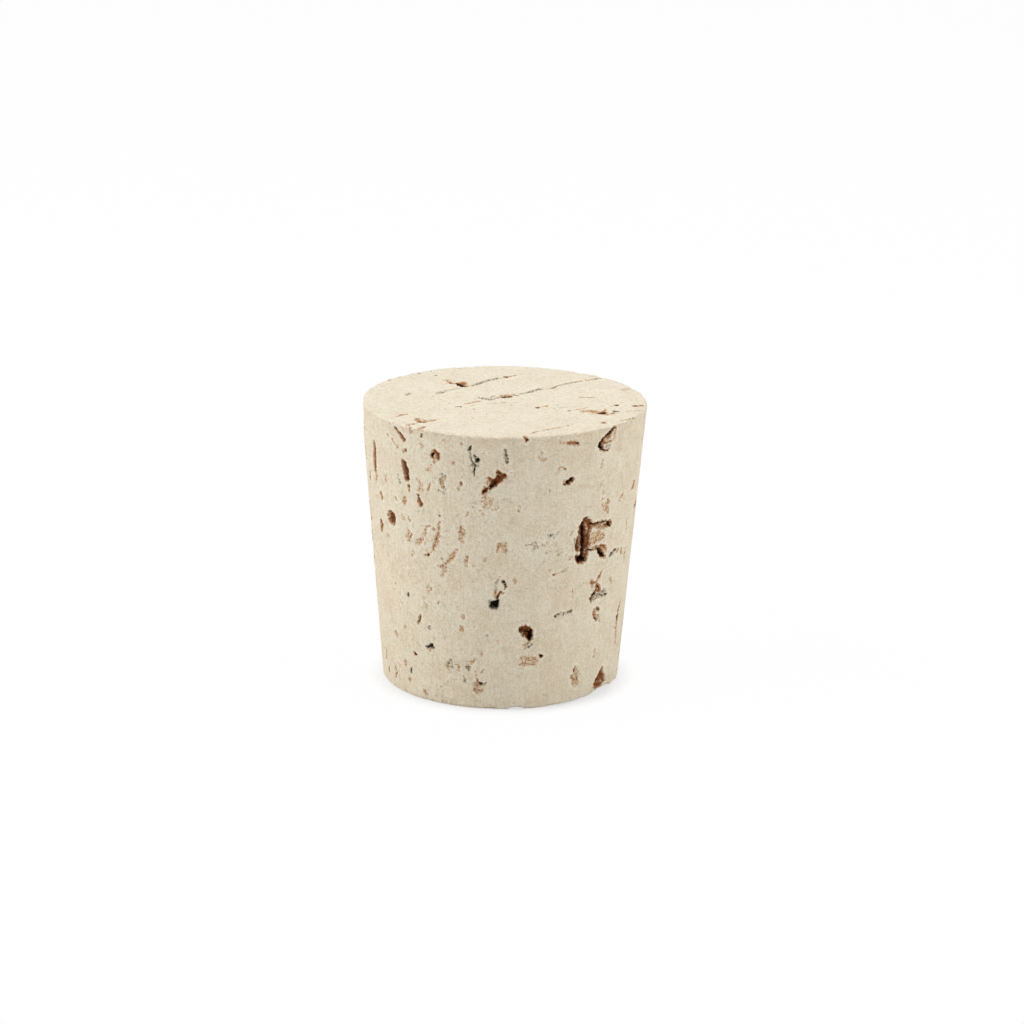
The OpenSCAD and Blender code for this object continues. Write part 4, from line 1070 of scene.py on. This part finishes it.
def crinkles(n, shared):
    """Fine winding lines of the cut surface: ridges, which raise the bump and carry a painted highlight,
    and a groove of painted shade along each.
    """
    crinkle = n.math("ABSOLUTE", n.minus(n.noise(shared.mm, 1.5, 3, 0.6, 2.2), 0.5))
    close = n.math("MINIMUM", n.field("brown"), n.math("MINIMUM", n.field("tan"), n.field("grey")))
    patches = n.ramp(n.noise(shared.mm, 0.3, 2), 0.42, 0.62, 0.25, 0.7)
    lined = n.math("MAXIMUM", patches, n.ramp(close, 0.78, 0.3))
    ridge_and_highlight = n.times(n.ramp(crinkle, 0.07, 0.02), lined)
    groove_shade = n.times(n.ramp(crinkle, 0.06, 0.11), n.ramp(crinkle, 0.18, 0.11))
    return ridge_and_highlight, groove_shade


def ground_colour(n, shared, ridge_and_highlight, groove_shade):
    """The cork between the marks: pale patches, growth rings, flecks, knife lines and pores, with the
    painted shade and painted highlight of the crinkles.
    """
    base = n.mix(n.ramp(n.noise(shared.mm, 0.22, 4), 0.38, 0.66), CREAM, PALE)
    base = n.mix(shared.end_face, base, n.mix(0.6, base, LIGHT))
    height = n.add("ShaderNodeSeparateXYZ", {"Vector": shared.mm}).outputs["Z"]
    base = n.tint(base, n.times(n.ramp(height, *WARM_RIM), shared.side), 0.18, TAN)
    base = n.mix(n.ramp(n.noise(shared.mm, 0.11, 2), 0.46, 0.64, 0.0, 0.3), base, HAZE)
    base = n.tint(base, n.ramp(shared.rings, 0.45, 0.75), 0.2, SHADE)
    base = n.tint(base, n.ramp(shared.fleck, 0.5, 0.7), 0.62, SHADE)
    blotches = n.ramp(n.noise(shared.mm, 1.5, 3, 0.6), 0.5, 0.66)
    base = n.tint(base, blotches, n.math("MULTIPLY_ADD", shared.end_face, 0.3, 0.15), SHADE)
    base = n.tint(base, n.ramp(shared.dust, 0.5, 0.66), 0.45, SHADE)
    base = n.tint(base, n.times(n.ramp(shared.knife, 0.5, 0.68), shared.side), 0.5, SHADE)
    base = n.tint(base, n.times(n.ramp(shared.knife, 0.47, 0.3), shared.side), 0.4, LIGHT)
    # painted shade in the crinkle grooves, then a painted highlight on the crinkle ridges
    base = n.tint(base, groove_shade, 0.38, SHADE)
    base = n.tint(base, ridge_and_highlight, 0.75, PAINTED_HIGHLIGHT)
    base = n.tint(base, n.ramp(shared.fleck, 0.47, 0.3), 0.7, LIGHT)
    base = n.tint(base, n.ramp(shared.dust, 0.45, 0.3), 0.5, LIGHT)
    return n.tint(base, n.ramp(shared.pores, 0.62, 0.72), 0.32, TAN)


def with_stains(n, shared, base):
    """base with a painted highlight on the lip of each pit, a tan halo round each pit, and with the tan and
    grey specks.
    """
    crumbs = n.ramp(shared.crumbs, 0.36, 0.6)
    dots = n.ramp(shared.crumbs, 0.5, 0.58)
    mask = shared.mask
    # painted highlight where the edge of each brown or black pit would catch the light
    lip_highlight = n.math("MAXIMUM", mask("brown", 0.28, 0.7), mask("black", 0.26, 0.7))
    base = n.tint(base, lip_highlight, n.math("MULTIPLY_ADD", crumbs, -0.5, 0.9), PAINTED_HIGHLIGHT)
    halo = n.times(mask("brown", 0.13, 0.6), n.math("MULTIPLY_ADD", crumbs, 0.6, 0.15))
    tan = n.times(mask("tan", 0.02, 1.1, 0.12), n.math("MULTIPLY_ADD", crumbs, 0.55, 0.4))
    grey = n.times(mask("grey", 0.0, 0.7), n.math("MULTIPLY_ADD", crumbs, 0.7, 0.15))
    smoke = n.times(mask("black", 0.14, 0.7, 0.12), 0.55)
    base = n.mix(n.math("MAXIMUM", halo, tan), base, TAN)
    base = n.tint(base, mask("tan", -0.02, 0.8), n.times(dots, 0.7), UMBER)
    base = n.mix(n.math("MAXIMUM", grey, smoke), base, ASH)
    return n.tint(base, mask("grey", -0.03, 0.6), n.times(dots, 0.8), SLATE)


def pit_colour(n, shared):
    """The inside of the brown pits: darker where they are deeper, with dark seams; this darkening is partly
    the cork's own dark cores and partly painted shade in the hollows.
    """
    mottle = n.noise(shared.mm, 3.4, 3, 0.6)
    depth = n.plus(n.field("pit"), n.math("MULTIPLY_ADD", mottle, 1.1, -0.55))
    brown = n.mix(n.ramp(depth, -0.05, 0.35), SAND, RUST)
    brown = n.mix(n.ramp(depth, 0.3, 0.85), brown, BARK)
    brown = n.mix(n.ramp(depth, 0.85, 1.35), brown, DARK)
    seam = n.minus(n.noise(shared.mm, 2.8, 2, 0.5), 0.5)
    inner = n.plus(n.field("brown"), n.times(seam, 0.9))
    brown = n.tint(brown, n.ramp(inner, -0.08, -0.35), 0.6, BARK)
    return n.tint(brown, n.ramp(inner, -0.25, -0.6), n.ramp(mottle, 0.3, 0.6, 0.05, 0.45), DARK)


def with_pits(n, shared, base):
    """base with the inside of the brown, dark and black marks over it."""
    base = n.tint(base, shared.mask("brown", 0.02, 0.85, 0.08), 0.96, pit_colour(n, shared))
    # the near-black of the dark marks is partly the cork's own dark cores and partly painted shade deep in
    # the pits
    base = n.tint(base, shared.mask("dark", 0.0, 0.4, 0.06), 0.95, DARK)
    return n.tint(base, shared.mask("black", 0.0, 0.5, 0.06), 0.95, SOOT)


def fine_bump(n, shared, ridge_and_highlight):
    """Grain that is finer than the mesh."""
    height = n.plus(n.times(shared.fleck, 0.6), n.times(shared.dust, 0.4))
    height = n.plus(height, n.times(n.times(shared.knife, shared.side), 0.4))
    height = n.plus(height, n.times(n.ramp(shared.pores, 0.58, 0.7), -0.5))
    height = n.plus(height, n.times(ridge_and_highlight, 0.1))
    bump = n.add("ShaderNodeBump", {"Strength": 0.9, "Distance": BUMP_HEIGHT, "Height": height})
    return bump.outputs[0]


def cork_material():
    material = bpy.data.materials.new("cork")
    n = Nodes(material)
    shared = shared_layers(n)
    ridge_and_highlight, groove_shade = crinkles(n, shared)
    ground = ground_colour(n, shared, ridge_and_highlight, groove_shade)
    surface = n.add(
        "ShaderNodeBsdfPrincipled",
        {
            "Base Color": with_pits(n, shared, with_stains(n, shared, ground)),
            "Roughness": n.ramp(shared.fleck, 0.3, 0.7, 0.82, 0.95),
            "Normal": fine_bump(n, shared, ridge_and_highlight),
            "Specular IOR Level": 0.12,
        },
    )
    n.add("ShaderNodeOutputMaterial", {"Surface": surface.outputs[0]})
    return material


# ---------------------------------------------------------------- the setting

CAMERA_AWAY = 500 * MM
CAMERA_TILT = math.radians(16.6)
CAMERA_ROLL = math.radians(0.83)
CAMERA_SHIFT = (0.0096, 0.0246)  # as shares of the frame
SENSOR = 36.0  # mm
FRAME_PIXELS = 1024  # width of the frame
PIXELS_PER_MM = 7.443  # at the middle of the cork
MIDDLE_OF_CORK = Vector((0, 0, LENGTH * MM / 2))

LAMPS = [  # name, place in metres, width in metres, power in watts
    ("left lamp", (-0.55, -0.1, 0.35), 0.5, 2.32),
    ("right lamp", (0.6, -0.15, 0.3), 0.5, 1.85),
    ("top lamp", (0.0, 0.15, 0.7), 0.6, 2.45),
]
SKY_LIGHT = 0.3  # strength of the sky's light, next to the white that the camera sees
FLOOR_REACH = 3.0  # metres
FLOOR_LIFT = (0.62, 0.97)  # share of plain white in the floor: under the cork, and round it
FLOOR_FADE = (0.0157, 0.0185)  # distances from the axis between which the share rises, in metres


def make_camera():
    """Looks down on the front of the cork. The shift puts the cork where the frame has it."""
    back = Vector((0, -math.cos(CAMERA_TILT), math.sin(CAMERA_TILT)))
    data = bpy.data.cameras.new("camera")
    data.sensor_width = SENSOR
    data.lens = SENSOR * PIXELS_PER_MM * (CAMERA_AWAY / MM) / FRAME_PIXELS
    data.shift_x, data.shift_y = CAMERA_SHIFT
    camera = bpy.data.objects.new("camera", data)
    camera.rotation_mode = "QUATERNION"
    look = (-back).to_track_quat("-Z", "Y").to_matrix() @ Matrix.Rotation(CAMERA_ROLL, 3, "Z")
    camera.rotation_quaternion = look.to_quaternion()
    camera.location = MIDDLE_OF_CORK + back * CAMERA_AWAY
    bpy.context.scene.collection.objects.link(camera)
    bpy.context.scene.camera = camera


def make_lamp(name, place, width, power):
    """Soft square lamp aimed at the middle of the cork."""
    data = bpy.data.lights.new(name, "AREA")
    data.shape = "SQUARE"
    data.size = width
    data.energy = power
    lamp = bpy.data.objects.new(name, data)
    lamp.location = place
    lamp.rotation_euler = (MIDDLE_OF_CORK - Vector(place)).to_track_quat("-Z", "Y").to_euler()
    bpy.context.scene.collection.objects.link(lamp)


def make_floor():
    """White ground, lit by the lamps and lifted to white where nothing shades it."""
    mesh = bpy.data.meshes.new("floor")
    reach = FLOOR_REACH
    corners = [(-reach, -reach, 0), (reach, -reach, 0), (reach, reach, 0), (-reach, reach, 0)]
    mesh.from_pydata(corners, [], [(0, 1, 2, 3)])
    floor = bpy.data.objects.new("floor", mesh)
    bpy.context.scene.collection.objects.link(floor)
    material = bpy.data.materials.new("floor")
    n = Nodes(material)
    matt = n.add("ShaderNodeBsdfDiffuse", {"Color": (0.9, 0.9, 0.9, 1)})
    glow = n.add("ShaderNodeEmission", {"Color": (1, 1, 1, 1), "Strength": 1.0})
    path = n.add("ShaderNodeLightPath")
    place = n.add("ShaderNodeTexCoord").outputs["Object"]
    away = n.add("ShaderNodeVectorMath", {0: place}, operation="LENGTH").outputs["Value"]
    share = n.ramp(away, *FLOOR_FADE, *FLOOR_LIFT)
    seen = n.times(path.outputs["Is Camera Ray"], share)
    both = n.add("ShaderNodeMixShader", {"Fac": seen, 1: matt.outputs[0], 2: glow.outputs[0]})
    n.add("ShaderNodeOutputMaterial", {"Surface": both.outputs[0]})
    mesh.materials.append(material)


def make_world():
    """White to the camera and to gloss, and a dimmer white as light."""
    world = bpy.data.worlds.new("world")
    bpy.context.scene.world = world
    n = Nodes(world)
    path = n.add("ShaderNodeLightPath")
    seen = n.math("MAXIMUM", path.outputs["Is Camera Ray"], path.outputs["Is Glossy Ray"])
    seen = n.math("MAXIMUM", seen, path.outputs["Is Transmission Ray"])
    power = n.math("MULTIPLY_ADD", seen, 1 - SKY_LIGHT, SKY_LIGHT)
    sky = n.add("ShaderNodeBackground", {"Color": (1, 1, 1, 1), "Strength": power})
    n.add("ShaderNodeOutputWorld", {"Surface": sky.outputs[0]})


def make_setting():
    bpy.context.scene.view_settings.view_transform = "Standard"
    make_camera()
    make_world()
    for lamp in LAMPS:
        make_lamp(*lamp)
    make_floor()


cork = cork_mesh()
cork.data.materials.append(cork_material())
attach(cork, "root")
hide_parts("stopper")
make_setting()

bpy.context.view_layer.update()
